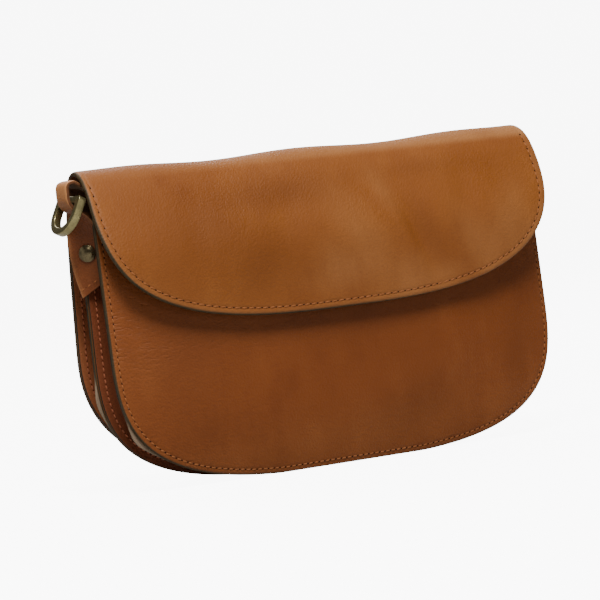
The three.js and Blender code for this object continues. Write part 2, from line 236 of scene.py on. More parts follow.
def sheet(outer: Array, inner: Array, swell: float, marks: dict[str, Array]) -> Shape:
    """Closed sheet between two grids, with a rim that swells out as half an ellipse between their borders.

    Args:
        outer: Grain side, rows by columns by 3.
        inner: Flesh side, of the same size.
        swell: How far the rim stands out.
        marks: Values for each point of a grid, kept on both sides and the rim.

    Returns:
        The closed shape, faces outwards.
    """
    rows, columns = outer.shape[:2]
    total = rows * columns
    number = np.arange(total).reshape(rows, columns)
    border = np.concatenate([number[0, :-1], number[:-1, -1], number[-1, :0:-1], number[:0:-1, 0]])
    near = np.pad(number[1:-1, 1:-1], 1, mode="edge").ravel()[border]
    flat_outer = outer.reshape(-1, 3)
    flat_inner = inner.reshape(-1, 3)
    away = unit(flat_outer[border] - flat_outer[near])
    turn = np.linspace(0, np.pi, RIM_ROWS + 2)[1:-1, None, None]
    through = (1 - np.cos(turn)) / 2
    rim = flat_outer[border] * (1 - through) + flat_inner[border] * through + away * swell * np.sin(turn)
    rim_number = 2 * total + np.arange(RIM_ROWS * len(border)).reshape(RIM_ROWS, -1)
    loops = np.concatenate([border[None], rim_number, total + border[None]])
    strip = grid_quads(len(loops), len(border), close_columns=True)
    face = grid_quads(rows, columns)
    quads = np.concatenate([face, face[:, ::-1] + total, loops.ravel()[strip][:, ::-1]])
    kinds = np.repeat([Side.GRAIN, Side.FLESH, Side.EDGE], [len(face), len(face), len(strip)])
    kept = {}
    for mark, values in marks.items():
        flat = values.ravel()
        kept[mark] = np.concatenate([flat, flat, np.tile(flat[border], RIM_ROWS)])
    points = np.concatenate([flat_outer, flat_inner, rim.reshape(-1, 3)])
    return Shape(points, quads, kinds, kept).outward()


def dress(piece: Piece, body: str = BAG, node: str | None = None) -> Piece:
    """Tell the frame what a finished piece belongs to.

    Args:
        piece: The piece.
        body: Body that it moves with.
        node: Solid that it takes the place of, if any.

    Returns:
        The same piece.
    """
    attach(piece, body)
    if node is not None:
        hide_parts(node)
    return piece


# Outlines and seams


@dataclass(frozen=True)
class Outline:
    """Edge of a panel: upright sides above lower corners that follow a superellipse."""

    half_width: float
    corner_height: float
    corner: float
    foot: float = 0.0
    settle: float = 0.6
    least_share: float = 1e-4
    closest: float = 2e-4
    even_to: float = 0.98

    def settled(self, rise: Array) -> Array:
        """Heights above the foot, pressed flat where the curve would sink under it."""
        return self.foot + np.maximum(rise - self.settle, 0)

    def lower(self, x: Array) -> Array:
        """Height of the lower edge: h (1 - (1 - |x/a|^n)^(1/n)), settled on the foot."""
        share = np.clip(np.abs(x) / self.half_width, 0, 1) ** self.corner
        return self.settled(self.corner_height * (1 - (1 - share) ** (1 / self.corner)))

    def distance(self, x: Array, z: Array) -> Array:
        """Distance in from the edge: the superellipse's level over the length of its slope.

        Args:
            x: Places across the width.
            z: Heights.

        Returns:
            Distances, 0 on the edge and outside it.
        """
        across = np.clip(np.abs(x) / self.half_width, self.least_share, 1)
        down = np.clip((self.corner_height + self.foot - self.settle - z) / self.corner_height, 0, 1)
        level = 1 - across**self.corner - down**self.corner
        power = self.corner - 1
        slope = np.hypot(across**power / self.half_width, down**power / self.corner_height)
        return np.maximum(level, 0) / (self.corner * slope)

    def swept(self, turn: Array) -> Array:
        """Shares of the half-width at angles of a half turn: |cos|^(2/n), from -1 to 1."""
        return -np.sign(np.cos(turn)) * np.abs(np.cos(turn)) ** (2 / self.corner)

    def columns(self, turns: int, step: float | None = None) -> Array:
        """Shares across the width, close together where the corner is steep.

        Args:
            turns: Columns spaced by the corner's turn.
            step: Widest step between columns, if even ones are wanted too.

        Returns:
            Rising shares from -1 to 1.
        """
        curved = self.swept(np.linspace(0, np.pi, turns))
        even = np.linspace(-1, 1, int(2 * self.half_width / step)) if step else np.empty(0)
        both = np.sort(np.concatenate([curved, even[np.abs(even) < self.even_to]]))
        keep = np.concatenate([[True], np.diff(both) > self.closest])
        keep[-2:] = [both[-1] - both[-2] > self.closest, True]
        return both[keep]

    def path(self, top: float, side_steps: int, base_steps: int) -> Array:
        """Points of the edge from the left top, round the base, to the right top.

        Args:
            top: Height where it starts and ends.
            side_steps: Steps on each upright side.
            base_steps: Steps round the base.

        Returns:
            X and Z of each point.
        """
        turn = np.linspace(0, np.pi, base_steps + 1)
        x = self.half_width * self.swept(turn)
        z = self.settled(self.corner_height * (1 - np.abs(np.sin(turn)) ** (2 / self.corner)))
        side = np.linspace(top, z[0], side_steps + 1)[:-1]
        left = np.stack([np.full(side_steps, -self.half_width), side], -1)
        right = np.stack([np.full(side_steps, self.half_width), side[::-1]], -1)
        return np.concatenate([left, np.stack([x, z], -1), right])


@dataclass(frozen=True)
class PanelGrid:
    """Spacing of the points of an upright panel, finer at its lower edge."""

    turns: int
    step: float
    fine: float
    fine_to: float
    coarse: float

    def spread(self, outline: Outline, top: float) -> tuple[Array, Array]:
        """Grid of points: columns across the width, rows at shares of the height above the lower edge.

        Args:
            outline: Panel's edge.
            top: Height of its upper edge.

        Returns:
            X and Z of each point.
        """
        x = outline.columns(self.turns, self.step)[None] * outline.half_width
        up = graded(top, self.fine, self.fine_to, self.coarse)[:, None]
        lower = outline.lower(x)
        z = lower + (top - lower) * up
        return np.broadcast_to(x, z.shape), z


def inward(path: Array) -> Array:
    """Directions square to a path in its own plane, to the left of its run."""
    along = unit(np.gradient(path, axis=0))
    return np.stack([-along[:, 1], along[:, 0]], -1)


def even_steps(path: Array, pitch: float) -> tuple[Array, Array]:
    """Points spaced evenly along a path by its length.

    Args:
        path: Points, one to a row.
        pitch: Distance between them.

    Returns:
        The points, and the direction of the path at each.
    """
    run = np.concatenate([[0], np.cumsum(np.linalg.norm(np.diff(path, axis=0), axis=1))])
    count = int(run[-1] / pitch)
    at = (np.arange(count) + 0.5) * run[-1] / count
    near = pitch / 4

    def place(where: Array) -> Array:
        """Points at lengths along the path."""
        return np.stack([np.interp(where, run, column) for column in path.T], -1)

    return place(at), unit(place(at + near) - place(at - near))


@dataclass(frozen=True)
class Seam:
    """Sewn line along an edge."""

    inset: float = 3.5
    pitch: float = 3.9
    groove: float = 0.28
    groove_width: float = 0.9
    fall: float = 0.45
    fall_width: float = 0.8
    side_steps: int = 24
    base_steps: int = 400

    def line(self, outline: Outline, top: float) -> tuple[Array, Array]:
        """Places of the stitches inside an outline, as X and Z, and their directions."""
        path = outline.path(top, self.side_steps, self.base_steps)
        return even_steps(path + self.inset * inward(path), self.pitch)

    def pressed(self, distance: Array) -> Array:
        """Depth of the groove that the thread pulls into the leather: a bell at the inset."""
        return self.groove * bump(distance, self.inset, self.groove_width)

    def trimmed(self, distance: Array) -> Array:
        """Depth by which the leather falls off to its cut edge: an exponential."""
        return self.fall * np.exp(-distance / self.fall_width)


# Node trees


@dataclass(frozen=True)
class Noise:
    """Settings of a Noise texture."""

    scale: float
    detail: float
    roughness: float


MIX_INPUTS = (0, 6, 7)
MIX_OUTPUT = 2


class Graph:
    """Short way to lay nodes in a material's or a group's tree."""

    def __init__(self, tree: bpy.types.NodeTree) -> None:
        """Keep the tree."""
        self.tree = tree

    def node(self, kind: str, **settings: object) -> bpy.types.Node:
        """Add a node.

        Args:
            kind: Blender's node type.
            settings: Properties of the node.

        Returns:
            The node.
        """
        made = self.tree.nodes.new(kind)
        for name, value in settings.items():
            setattr(made, name, value)
        return made

    def fill(self, target: Socket, value: Input) -> None:
        """Link an input to a socket, or set it to a number, a vector or a colour.

        Args:
            target: Input of a node.
            value: What goes in.
        """
        if isinstance(value, Socket):
            self.tree.links.new(value, target)
        elif target.type == "RGBA":
            target.default_value = (*value, 1.0)
        else:
            target.default_value = value

    def feed(self, node: bpy.types.Node, **values: Input) -> None:
        """Fill a node's inputs by name, with an underscore for each space."""
        for name, value in values.items():
            self.fill(node.inputs[name.replace("_", " ")], value)

    def maths(self, operation: str, first: Input, second: Input) -> Socket:
        """Result of a Math node.

        Args:
            operation: Blender's name of the operation.
            first: Value on its left.
            second: Value on its right.

        Returns:
            The result.
        """
        made = self.node("ShaderNodeMath", operation=operation)
        self.fill(made.inputs[0], first)
        self.fill(made.inputs[1], second)
        return made.outputs[0]

    def total(self, *terms: tuple[Socket, float]) -> Socket:
        """Sum of values, each times its weight.

        Args:
            terms: Values with their weights.

        Returns:
            The sum.
        """
        parts = [self.maths("MULTIPLY", value, weight) for value, weight in terms]
        result = parts[0]
        for part in parts[1:]:
            result = self.maths("ADD", result, part)
        return result

    def noise(self, vector: Socket, noise: Noise, output: str = "Fac") -> Socket:
        """Noise texture.

        Args:
            vector: Coordinates.
            noise: Its settings.
            output: Which of its outputs to take.

        Returns:
            That output.
        """
        made = self.node("ShaderNodeTexNoise")
        self.feed(made, Vector=vector, Scale=noise.scale, Detail=noise.detail, Roughness=noise.roughness)
        return made.outputs[output]

    def mapped(self, vector: Socket, scale: Triple, turn: Triple = (0.0, 0.0, 0.0)) -> Socket:
        """Coordinates turned and scaled by a Mapping node.

        Args:
            vector: Coordinates.
            scale: Factors along the axes.
            turn: Angles about the axes.

        Returns:
            The new coordinates.
        """
        made = self.node("ShaderNodeMapping")
        self.feed(made, Vector=vector, Scale=scale, Rotation=turn)
        return made.outputs["Vector"]

    def range(self, value: Socket, span: Span, to: Span = (0.0, 1.0), smooth: bool = True) -> Socket:
        """Value carried from one range to another, and held inside it.

        Args:
            value: The value.
            span: Range that it comes from.
            to: What the ends of that range become.
            smooth: Whether it eases in and out.

        Returns:
            The new value.
        """
        made = self.node("ShaderNodeMapRange", interpolation_type="SMOOTHSTEP" if smooth else "LINEAR")
        self.feed(made, Value=value, From_Min=span[0], From_Max=span[1], To_Min=to[0], To_Max=to[1])
        return made.outputs["Result"]

    def mix(self, share: Input, first: Input, second: Input) -> Socket:
        """Colour between two colours.

        Args:
            share: How much of the second.
            first: Colour at 0.
            second: Colour at 1.

        Returns:
            The colour.
        """
        made = self.node("ShaderNodeMix", data_type="RGBA")
        for number, value in zip(MIX_INPUTS, (share, first, second)):
            self.fill(made.inputs[number], value)
        return made.outputs[MIX_OUTPUT]

    def mark(self, name: str) -> Socket:
        """Value that the mesh keeps for each point under a name, 0 where it has none."""
        return self.node("ShaderNodeAttribute", attribute_name=name).outputs["Fac"]

    def relief(self, height: Socket, strength: float, depth: float) -> Socket:
        """Normal of a Bump node.

        Args:
            height: Height over the surface.
            strength: Share of the bump that shows.
            depth: Metres that a height of 1 stands for.

        Returns:
            The normal.
        """
        made = self.node("ShaderNodeBump")
        self.feed(made, Height=height, Strength=strength, Distance=depth)
        return made.outputs["Normal"]

    def group(self, tree: bpy.types.NodeTree, **values: Input) -> bpy.types.Node:
        """Place a node group.

        Args:
            tree: The group's tree.
            values: What goes into its inputs.

        Returns:
            The group's node.
        """
        made = self.node("ShaderNodeGroup", node_tree=tree)
        self.feed(made, **values)
        return made


class MaterialGraph(Graph):
    """Graph of a new material, with its Principled shader and the Object coordinates."""

    def __init__(self, name: str) -> None:
        """Make the material."""
        self.material = bpy.data.materials.new(name)
        self.material.use_nodes = True
        super().__init__(self.material.node_tree)
        self.shader = next(node for node in self.tree.nodes if node.type == "BSDF_PRINCIPLED")
        self.place = self.node("ShaderNodeTexCoord").outputs["Object"]

    def shade(self, **values: Input) -> Material:
        """Fill the shader's inputs and hand over the material."""
        self.feed(self.shader, **values)
        return self.material


class GroupGraph(Graph):
    """Graph of a new shader node group with named sockets."""

    def __init__(self, name: str, inputs: dict[str, str], outputs: dict[str, str]) -> None:
        """Make the group and its two end nodes.

        Args:
            name: Group's name.
            inputs: Socket types by input name.
            outputs: Socket types by output name.
        """
        super().__init__(bpy.data.node_groups.new(name, "ShaderNodeTree"))
        for way, sockets in (("INPUT", inputs), ("OUTPUT", outputs)):
            for label, kind in sockets.items():
                self.tree.interface.new_socket(label, in_out=way, socket_type=kind)
        self.given = self.node("NodeGroupInput").outputs
        self.result = self.node("NodeGroupOutput")

    def close(self, **values: Socket) -> bpy.types.NodeTree:
        """Link the group's outputs and hand over its tree."""
        self.feed(self.result, **values)
        return self.tree


# Effects that several finishes share

COLOUR = "NodeSocketColor"
VALUE = "NodeSocketFloat"
VECTOR = "NodeSocketVector"


@dataclass(frozen=True)
class GrainEffect:
    """Leather grain: rounded pebbles between creases, pores on them, and wrinkles that come in patches."""

    warp: Noise = Noise(500.0, 2.0, 0.5)
    warp_reach: float = 0.0012
    pebble_scale: float = 900.0
    pebble_smoothness: float = 0.5
    pebble_span: Span = (0.15, 0.75)
    pores: Noise = Noise(2400.0, 2.0, 0.6)
    wrinkles: Noise = Noise(1.0, 4.0, 0.62)
    patches: Noise = Noise(24.0, 3.0, 0.5)
    patch_span: Span = (0.38, 0.7)
    patch_strength: Span = (0.35, 0.8)
    pebble_weight: float = 0.4
    pore_weight: float = 0.25
    ridge_weight: float = 0.35
    fine_weight: float = 0.6
    crease_weight: float = 1.4

    def tree(self) -> bpy.types.NodeTree:
        """Make the group: fine grain plus creases, the creases stronger in patches.

        Returns:
            The group's tree, with the grain's height as its output.
        """
        graph = GroupGraph("hide_grain", {"Vector": VECTOR, "Folds": VECTOR}, {"Height": VALUE})
        place = graph.given["Vector"]
        warp = graph.noise(place, self.warp, "Color")
        moved = graph.node("ShaderNodeVectorMath", operation="MULTIPLY_ADD")
        for target, value in zip(moved.inputs, (warp, (self.warp_reach,) * 3, place)):
            graph.fill(target, value)
        cells = graph.node("ShaderNodeTexVoronoi", feature="SMOOTH_F1")
        graph.feed(cells, Vector=moved.outputs[0], Scale=self.pebble_scale)
        graph.feed(cells, Smoothness=self.pebble_smoothness)
        pebble = graph.range(cells.outputs["Distance"], self.pebble_span, (1.0, 0.0))
        pores = graph.noise(place, self.pores)
        fine = graph.total((pebble, self.pebble_weight), (pores, self.pore_weight))
        wrinkles = graph.noise(graph.given["Folds"], self.wrinkles)
        patches = graph.range(graph.noise(place, self.patches), self.patch_span, self.patch_strength)
        folded = graph.total((wrinkles, 1.0), (pebble, self.ridge_weight))
        creases = graph.maths("MULTIPLY", folded, patches)
        return graph.close(Height=graph.total((fine, self.fine_weight), (creases, self.crease_weight)))


@dataclass(frozen=True)
class ToneEffect:
    """Colour of waxed hide: broad clouds, upright streaks and fine flecks between three tones."""

    clouds: Noise = Noise(13.0, 4.0, 0.55)
    streaks: Noise = Noise(1.0, 5.0, 0.62)
    streak_scale: Triple = (70.0, 70.0, 26.0)
    streak_turn: Triple = (0.0, 0.5, 0.0)
    flecks: Noise = Noise(700.0, 3.0, 0.6)
    cloud_weight: float = 0.6
    streak_weight: float = 0.3
    fleck_weight: float = 0.16
    middle_span: Span = (0.36, 0.52)
    bright_span: Span = (0.52, 0.70)

    def tree(self) -> bpy.types.NodeTree:
        """Make the group: one shade from the three patterns, which passes from deep to middle to bright.

        Returns:
            The group's tree, with the colour and the shade as its outputs.
        """
        inputs = {"Vector": VECTOR, "Deep": COLOUR, "Middle": COLOUR, "Bright": COLOUR}
        graph = GroupGraph("hide_tone", inputs, {"Color": COLOUR, "Shade": VALUE})
        place = graph.given["Vector"]
        clouds = graph.noise(place, self.clouds)
        streaks = graph.noise(graph.mapped(place, self.streak_scale, self.streak_turn), self.streaks)
        flecks = graph.noise(place, self.flecks)
        weights = ((clouds, self.cloud_weight), (streaks, self.streak_weight), (flecks, self.fleck_weight))
        shade = graph.total(*weights)
        lower = graph.mix(graph.range(shade, self.middle_span), graph.given["Deep"], graph.given["Middle"])
        colour = graph.mix(graph.range(shade, self.bright_span), lower, graph.given["Bright"])
        return graph.close(Color=colour, Shade=shade)


@dataclass(frozen=True)
class TarnishEffect:
    """Patches of tarnish on metal, which gather in clouds with fine speckle."""

    clouds: Noise = Noise(170.0, 4.0, 0.6)
    speckle: Noise = Noise(1500.0, 3.0, 0.6)
    cloud_weight: float = 0.7
    speckle_weight: float = 0.3
    span: Span = (0.4, 0.62)

    def tree(self) -> bpy.types.NodeTree:
        """Make the group.

        Returns:
            The group's tree, with a mask of the tarnish as its output.
        """
        graph = GroupGraph("metal_tarnish", {"Vector": VECTOR}, {"Mask": VALUE})
        clouds = graph.noise(graph.given["Vector"], self.clouds)
        speckle = graph.noise(graph.given["Vector"], self.speckle)
        mixed = graph.total((clouds, self.cloud_weight), (speckle, self.speckle_weight))
        return graph.close(Mask=graph.range(mixed, self.span))


class Effects:
    """The shared effects, each made once."""

    def __init__(self) -> None:
        """Make the node groups."""
        self.grain = GrainEffect().tree()
        self.tone = ToneEffect().tree()
        self.tarnish = TarnishEffect().tree()


# Finishes

EDGE_PAINT: Colour = (0.034, 0.023, 0.0105)


def scaled(colour: Colour, factor: float) -> Colour:
    """Colour times a factor."""
    return tuple(factor * part for part in colour)


@dataclass(frozen=True)
class HideFinish:
    """Smooth waxed leather, paler under a mark of wear and painted light, darker under one of wax and
    painted shade.
    """

    name: str
    deep: Colour
    middle: Colour
    bright: Colour
    rubbed_and_lit: Colour
    roughness: float = 0.5
    grain: float = 0.3
    specular: float = 0.15
    folds: Triple = (420.0, 420.0, 130.0)
    paint: Colour = EDGE_PAINT
    wax_and_shade_depth: float = 0.8
    rub_and_light_span: Span = (0.3, 0.65)
    rub_and_light_share: Span = (0.55, 1.0)
    grain_depth: float = 0.0008
    grain_span: Span = (0.4, 1.0)
    hollow_gain: float = 0.09
    crest_loss: float = 0.07
    dashes: Noise = Noise(1.0, 2.0, 0.5)
    dash_scale: Triple = (230.0, 230.0, 950.0)
    dash_span: Span = (0.52, 0.72)
    dash_depth: float = 1.8

    def material(self, effects: Effects) -> Material:
        """Make the material: dark wax and painted shade deepen it, wear and painted light pale it, paint
        covers it and crease cuts it.

        Args:
            effects: Shared node groups.

        Returns:
            The material.
        """
        graph = MaterialGraph(self.name)
        place = graph.place
        tones = {"Deep": self.deep, "Middle": self.middle, "Bright": self.bright}
        tone = graph.group(effects.tone, Vector=place, **tones)
        grain = graph.group(effects.grain, Vector=place, Folds=graph.mapped(place, self.folds))
        height = grain.outputs["Height"]
        # Dark wax and painted shade: the mark darkens the tone towards the deep colour
        waxed_and_shaded = graph.mix(graph.mark("wax_and_painted_shade"), tone.outputs["Color"], scaled(self.deep, self.wax_and_shade_depth))
        broken = graph.range(tone.outputs["Shade"], self.rub_and_light_span, self.rub_and_light_share)
        # Wear and painted light: the mark pales the colour, broken up by the tone
        wear_and_painted_light = graph.mix(graph.maths("MULTIPLY", graph.mark("rub_and_painted_light"), broken), waxed_and_shaded, self.rubbed_and_lit)
        dashes = graph.range(graph.noise(graph.mapped(place, self.dash_scale), self.dashes), self.dash_span)
        depth = graph.maths("MULTIPLY", dashes, self.dash_depth)
        creased = graph.maths("SUBTRACT", height, graph.maths("MULTIPLY", graph.mark("crease"), depth))
        roughness = (self.roughness + self.hollow_gain, self.roughness - self.crest_loss)
        return graph.shade(
            Base_Color=graph.mix(graph.mark("paint"), wear_and_painted_light, self.paint),
            Roughness=graph.range(height, self.grain_span, roughness, smooth=False),
            Normal=graph.relief(creased, self.grain, self.grain_depth),
            Specular_IOR_Level=self.specular,
        )


@dataclass(frozen=True)
class EdgeFinish:
    """Cut edge of leather: a painted coat that gives way to bare fibre where the mark named bare is high."""

    name: str
    paint: Colour
    fibre: Colour
    roughness: float = 0.55
    specular: float = 0.08
    uneven: Noise = Noise(420.0, 3.0, 0.6)
    coat_span: Span = (0.35, 0.7)
    coat_gain: float = 1.7
    rough_span: Span = (0.3, 0.7)
    rough_change: Span = (-0.08, 0.12)
    bump: float = 0.25
    bump_depth: float = 0.0004

    def material(self) -> Material:
        """Make the material.

        Returns:
            The material.
        """
        graph = MaterialGraph(self.name)
        uneven = graph.noise(graph.place, self.uneven)
        coat = graph.mix(graph.range(uneven, self.coat_span), self.paint, scaled(self.paint, self.coat_gain))
        low, high = self.rough_change
        roughness = (self.roughness + low, self.roughness + high)
        return graph.shade(
            Base_Color=graph.mix(graph.mark("bare"), coat, self.fibre),
            Roughness=graph.range(uneven, self.rough_span, roughness),
            Normal=graph.relief(uneven, self.bump, self.bump_depth),
            Specular_IOR_Level=self.specular,
        )


@dataclass(frozen=True)
class FleshFinish:
    """Brushed flesh side of leather: matt, with a short nap, and pale where the mark named bare is high."""

    name: str
    colour: Colour
    nap: Colour
    bare: Colour
    roughness: float = 0.88
    specular: float = 0.2
    fibres: Noise = Noise(1.0, 4.0, 0.65)
    fibre_scale: Triple = (900.0, 900.0, 300.0)
    bump: float = 0.35
    bump_depth: float = 0.0005

    def material(self) -> Material:
        """Make the material.

        Returns:
            The material.
        """
        graph = MaterialGraph(self.name)
        fibres = graph.noise(graph.mapped(graph.place, self.fibre_scale), self.fibres)
        brushed = graph.mix(fibres, self.colour, self.nap)
        return graph.shade(
            Base_Color=graph.mix(graph.mark("bare"), brushed, self.bare),
            Normal=graph.relief(fibres, self.bump, self.bump_depth),
            Roughness=self.roughness,
            Specular_IOR_Level=self.specular,
        )


@dataclass(frozen=True)
class MetalFinish:
    """Aged brass: bright metal, bared by wear, under patches of dark tarnish."""

    name: str
    bright: Colour
    tarnish: Colour
    roughness: float
    tarnish_gain: float = 0.06
    metallic: float = 0.9

    def material(self, effects: Effects) -> Material:
        """Make the material.

        Args:
            effects: Shared node groups.

        Returns:
            The material.
        """
        graph = MaterialGraph(self.name)
        mask = graph.group(effects.tarnish, Vector=graph.place).outputs["Mask"]
        roughness = (self.roughness, self.roughness + self.tarnish_gain)
        return graph.shade(
            Base_Color=graph.mix(mask, self.bright, self.tarnish),
            Roughness=graph.range(mask, (0.0, 1.0), roughness, smooth=False),
            Metallic=self.metallic,
        )


@dataclass(frozen=True)
class PlainFinish:
    """Thread or the shade of a needle hole: two tones of one colour in a fine pattern."""

    name: str
    low: Colour
    high: Colour
    pattern: Noise
    roughness: float
    specular: float

    def material(self) -> Material:
        """Make the material.

        Returns:
            The material.
        """
        graph = MaterialGraph(self.name)
        tone = graph.mix(graph.noise(graph.place, self.pattern), self.low, self.high)
        return graph.shade(Base_Color=tone, Roughness=self.roughness, Specular_IOR_Level=self.specular)


def thread_material(name: str, shadow: Colour, colour: Colour) -> Material:
    """Waxed thread, whose twisted strands catch the light."""
    strands = Noise(1700.0, 2.0, 0.5)
    return PlainFinish(name, shadow, colour, strands, roughness=0.6, specular=0.2).material()


def hole_material(name: str, colour: Colour) -> Material:
    """Dark, matt shade inside a needle hole."""
    uneven = Noise(900.0, 2.0, 0.5)
    return PlainFinish(name, colour, scaled(colour, 2), uneven, roughness=0.9, specular=0.1).material()


class Wardrobe:
    """Every finish of the bag."""

    def __init__(self) -> None:
        """Make the materials."""
        effects = Effects()
        self.tan = HideFinish(
            "tan_leather", deep=(0.128, 0.0355, 0.0055), middle=(0.152, 0.0455, 0.0075),
            bright=(0.182, 0.0585, 0.0105), rubbed_and_lit=(0.26, 0.112, 0.038),
        ).material(effects)
        # Painted shade: the tan leather made darker for the front, which lies in less light
        self.front = HideFinish(
            "shaded_front_leather", deep=(0.115, 0.0285, 0.0048), middle=(0.138, 0.0362, 0.0064),
            bright=(0.163, 0.046, 0.0094), rubbed_and_lit=(0.2, 0.068, 0.017), grain=0.34,
            folds=(110.0, 420.0, 420.0),
        ).material(effects)
        # Painted light: the tan leather made lighter for the gussets, which lie in shaded channels
        self.strip = HideFinish(
            "lit_gusset_leather", deep=(0.15, 0.041, 0.016), middle=(0.19, 0.055, 0.021),
            bright=(0.23, 0.073, 0.029), rubbed_and_lit=(0.26, 0.1, 0.04), specular=0.12,
        ).material(effects)
        # Painted shade: the tan leather made darker for the tabs under the flap; its pale rubbed colour
        # paints light on the loop
        self.tab = HideFinish(
            "shaded_tab_leather", deep=(0.086, 0.0215, 0.0055), middle=(0.108, 0.0288, 0.0076),
            bright=(0.129, 0.0382, 0.0106), rubbed_and_lit=(0.35, 0.15, 0.054), grain=0.35,
        ).material(effects)
        self.paint = EdgeFinish("edge_paint", EDGE_PAINT, fibre=(0.3, 0.16, 0.08)).material()
        self.tab_edge = EdgeFinish("tab_edge", (0.05, 0.018, 0.008), fibre=(0.12, 0.05, 0.02)).material()
        self.raw_edge = EdgeFinish("raw_edge", (0.016, 0.012, 0.006), fibre=(0.19, 0.135, 0.085)).material()
        self.flesh = FleshFinish(
            "flesh_side", colour=(0.10, 0.042, 0.018), nap=(0.17, 0.08, 0.036), bare=(0.16, 0.11, 0.07),
        ).material()
        self.ring = MetalFinish(
            "aged_ring_brass", bright=(0.287, 0.24, 0.108), tarnish=(0.192, 0.16, 0.072), roughness=0.27,
        ).material(effects)
        self.rivet = MetalFinish(
            "aged_rivet_brass", bright=(0.122, 0.094, 0.047), tarnish=(0.082, 0.063, 0.031), roughness=0.27,
        ).material(effects)
        self.sewing: Sewing = (
            thread_material("tan_thread", (0.155, 0.047, 0.0115), (0.26, 0.088, 0.022)),
            hole_material("needle_hole_shade", (0.016, 0.005, 0.002)),
        )
        self.strip_sewing: Sewing = (
            thread_material("pale_thread", (0.225, 0.066, 0.029), (0.37, 0.122, 0.058)),
            hole_material("strip_hole_shade", (0.06, 0.014, 0.005)),
        )


# Stitches


class Sewn(IntEnum):
    """Parts of a stitch, in the order of its materials."""

    THREAD = 0
    HOLE_SHADE = 1


@dataclass(frozen=True)
class Stitch:
    """One stitch of thread, with a dark lozenge at its end that paints the shade of the needle hole. The
    stitch's length is a share of the pitch.
    """

    share: float = 0.74
    width: float = 0.85
    height: float = 0.42
    slant: float = np.radians(9.0)
    hole_length: float = 1.25
    hole_width: float = 0.95
    hole_height: float = 0.12
    blunt: float = 0.92
    rings: int = 5
    sides: int = 6

    def lozenge(self, length: float, width: float, height: float) -> Array:
        """Low ellipsoid with blunt ends: rings of points whose size follows the root of 1 - t^2.

        Args:
            length: Size along the seam.
            width: Size across the seam.
            height: Half its height off the leather.

        Returns:
            Points as along, across and off the leather.
        """
        t = np.linspace(-self.blunt, self.blunt, self.rings)[:, None]
        turn = np.arange(self.sides)[None] * 2 * np.pi / self.sides
        size = np.sqrt(1 - t * t)
        across = size * np.cos(turn) * width / 2
        off = size * np.sin(turn) * height
        return np.stack(np.broadcast_arrays(t * length / 2, across, off), -1).reshape(-1, 3)

    def turned(self, along: Array, across: Array) -> tuple[Array, Array]:
        """The seam's directions turned by the slant at which each stitch lies."""
        cos, sin = np.cos(self.slant), np.sin(self.slant)
        return along * cos + across * sin, across * cos - along * sin

    def sew(self, name: str, places: Array, along: Array, normal: Array, sewing: Sewing, slot: str) -> Piece:
        """Lay a stitch at every place of a seam, and the painted shade of a hole half a pitch on from each.

        Args:
            name: Object's name.
            places: Middle of each stitch, on the leather.
            along: Direction of the seam at each.
            normal: Direction off the leather at each.
            sewing: Materials of the thread and of the holes.
            slot: Not used.

        Returns:
            One object with all of them.
        """
        pitch = np.linalg.norm(np.diff(places, axis=0), axis=1).mean()
        thread = self.lozenge(self.share * pitch, self.width, self.height)
        hole = self.lozenge(self.hole_length, self.hole_width, self.hole_height)
        forms = np.repeat([thread, hole], len(places), axis=0)
        spots = np.concatenate([places, places + along * pitch / 2])
        lay, beside = self.turned(along, unit(np.cross(normal, along)))
        lay, beside, off = (np.tile(way, (2, 1))[:, None] for way in (lay, beside, normal))
        points = spots[:, None] + lay * forms[..., :1] + beside * forms[..., 1:2] + off * forms[..., 2:]
        faces = tube_quads(self.rings, self.sides)
        starts = np.arange(len(spots))[:, None, None] * len(thread)
        kinds = np.repeat([Sewn.THREAD, Sewn.HOLE_SHADE], len(places) * len(faces))
        shape = Shape(points.reshape(-1, 3), (faces[None] + starts).reshape(-1, 4), kinds).outward()
        return dress(shape.put(name, list(sewing)))


Face = Callable[[Array, Array], Array]
Line = tuple[Array, Array]
SLOPE_STEP = 0.4


class Look(IntEnum):
    """Way that a sewn face looks, by the sign of Y."""

    FRONT = -1
    BACK = 1


def sew_face(name: str, face: Face, line: Line, look: Look, sewing: Sewing, slot: str) -> Piece:
    """Sew a line on a face that gives Y for X and Z, whose normal comes from its slopes.

    Args:
        name: Object's name.
        face: Function of the face.
        line: Places and directions in X and Z.
        look: Way that the face looks.
        sewing: Materials of the thread and of the holes.
        slot: Material slot of the leather.

    Returns:
        The stitches.
    """
    (x, z), (dx, dz) = line[0].T, line[1].T
    slope_x = (face(x + SLOPE_STEP, z) - face(x - SLOPE_STEP, z)) / (2 * SLOPE_STEP)
    slope_z = (face(x, z + SLOPE_STEP) - face(x, z - SLOPE_STEP)) / (2 * SLOPE_STEP)
    normal = unit(np.stack([-slope_x, np.ones_like(x), -slope_z], -1)) * look
    along = unit(np.stack([dx, slope_x * dx + slope_z * dz, dz], -1))
    places = np.stack([x, face(x, z), z], -1)
    return Stitch().sew(name, places, along, normal, sewing, slot)


# Leather pieces


class End(IntEnum):
    """Ends of the bag, by the sign of X."""

    LEFT = -1
    RIGHT = 1

    @property
    def label(self) -> str:
        """Word for the end in the names of its pieces."""
        return self.name.lower()


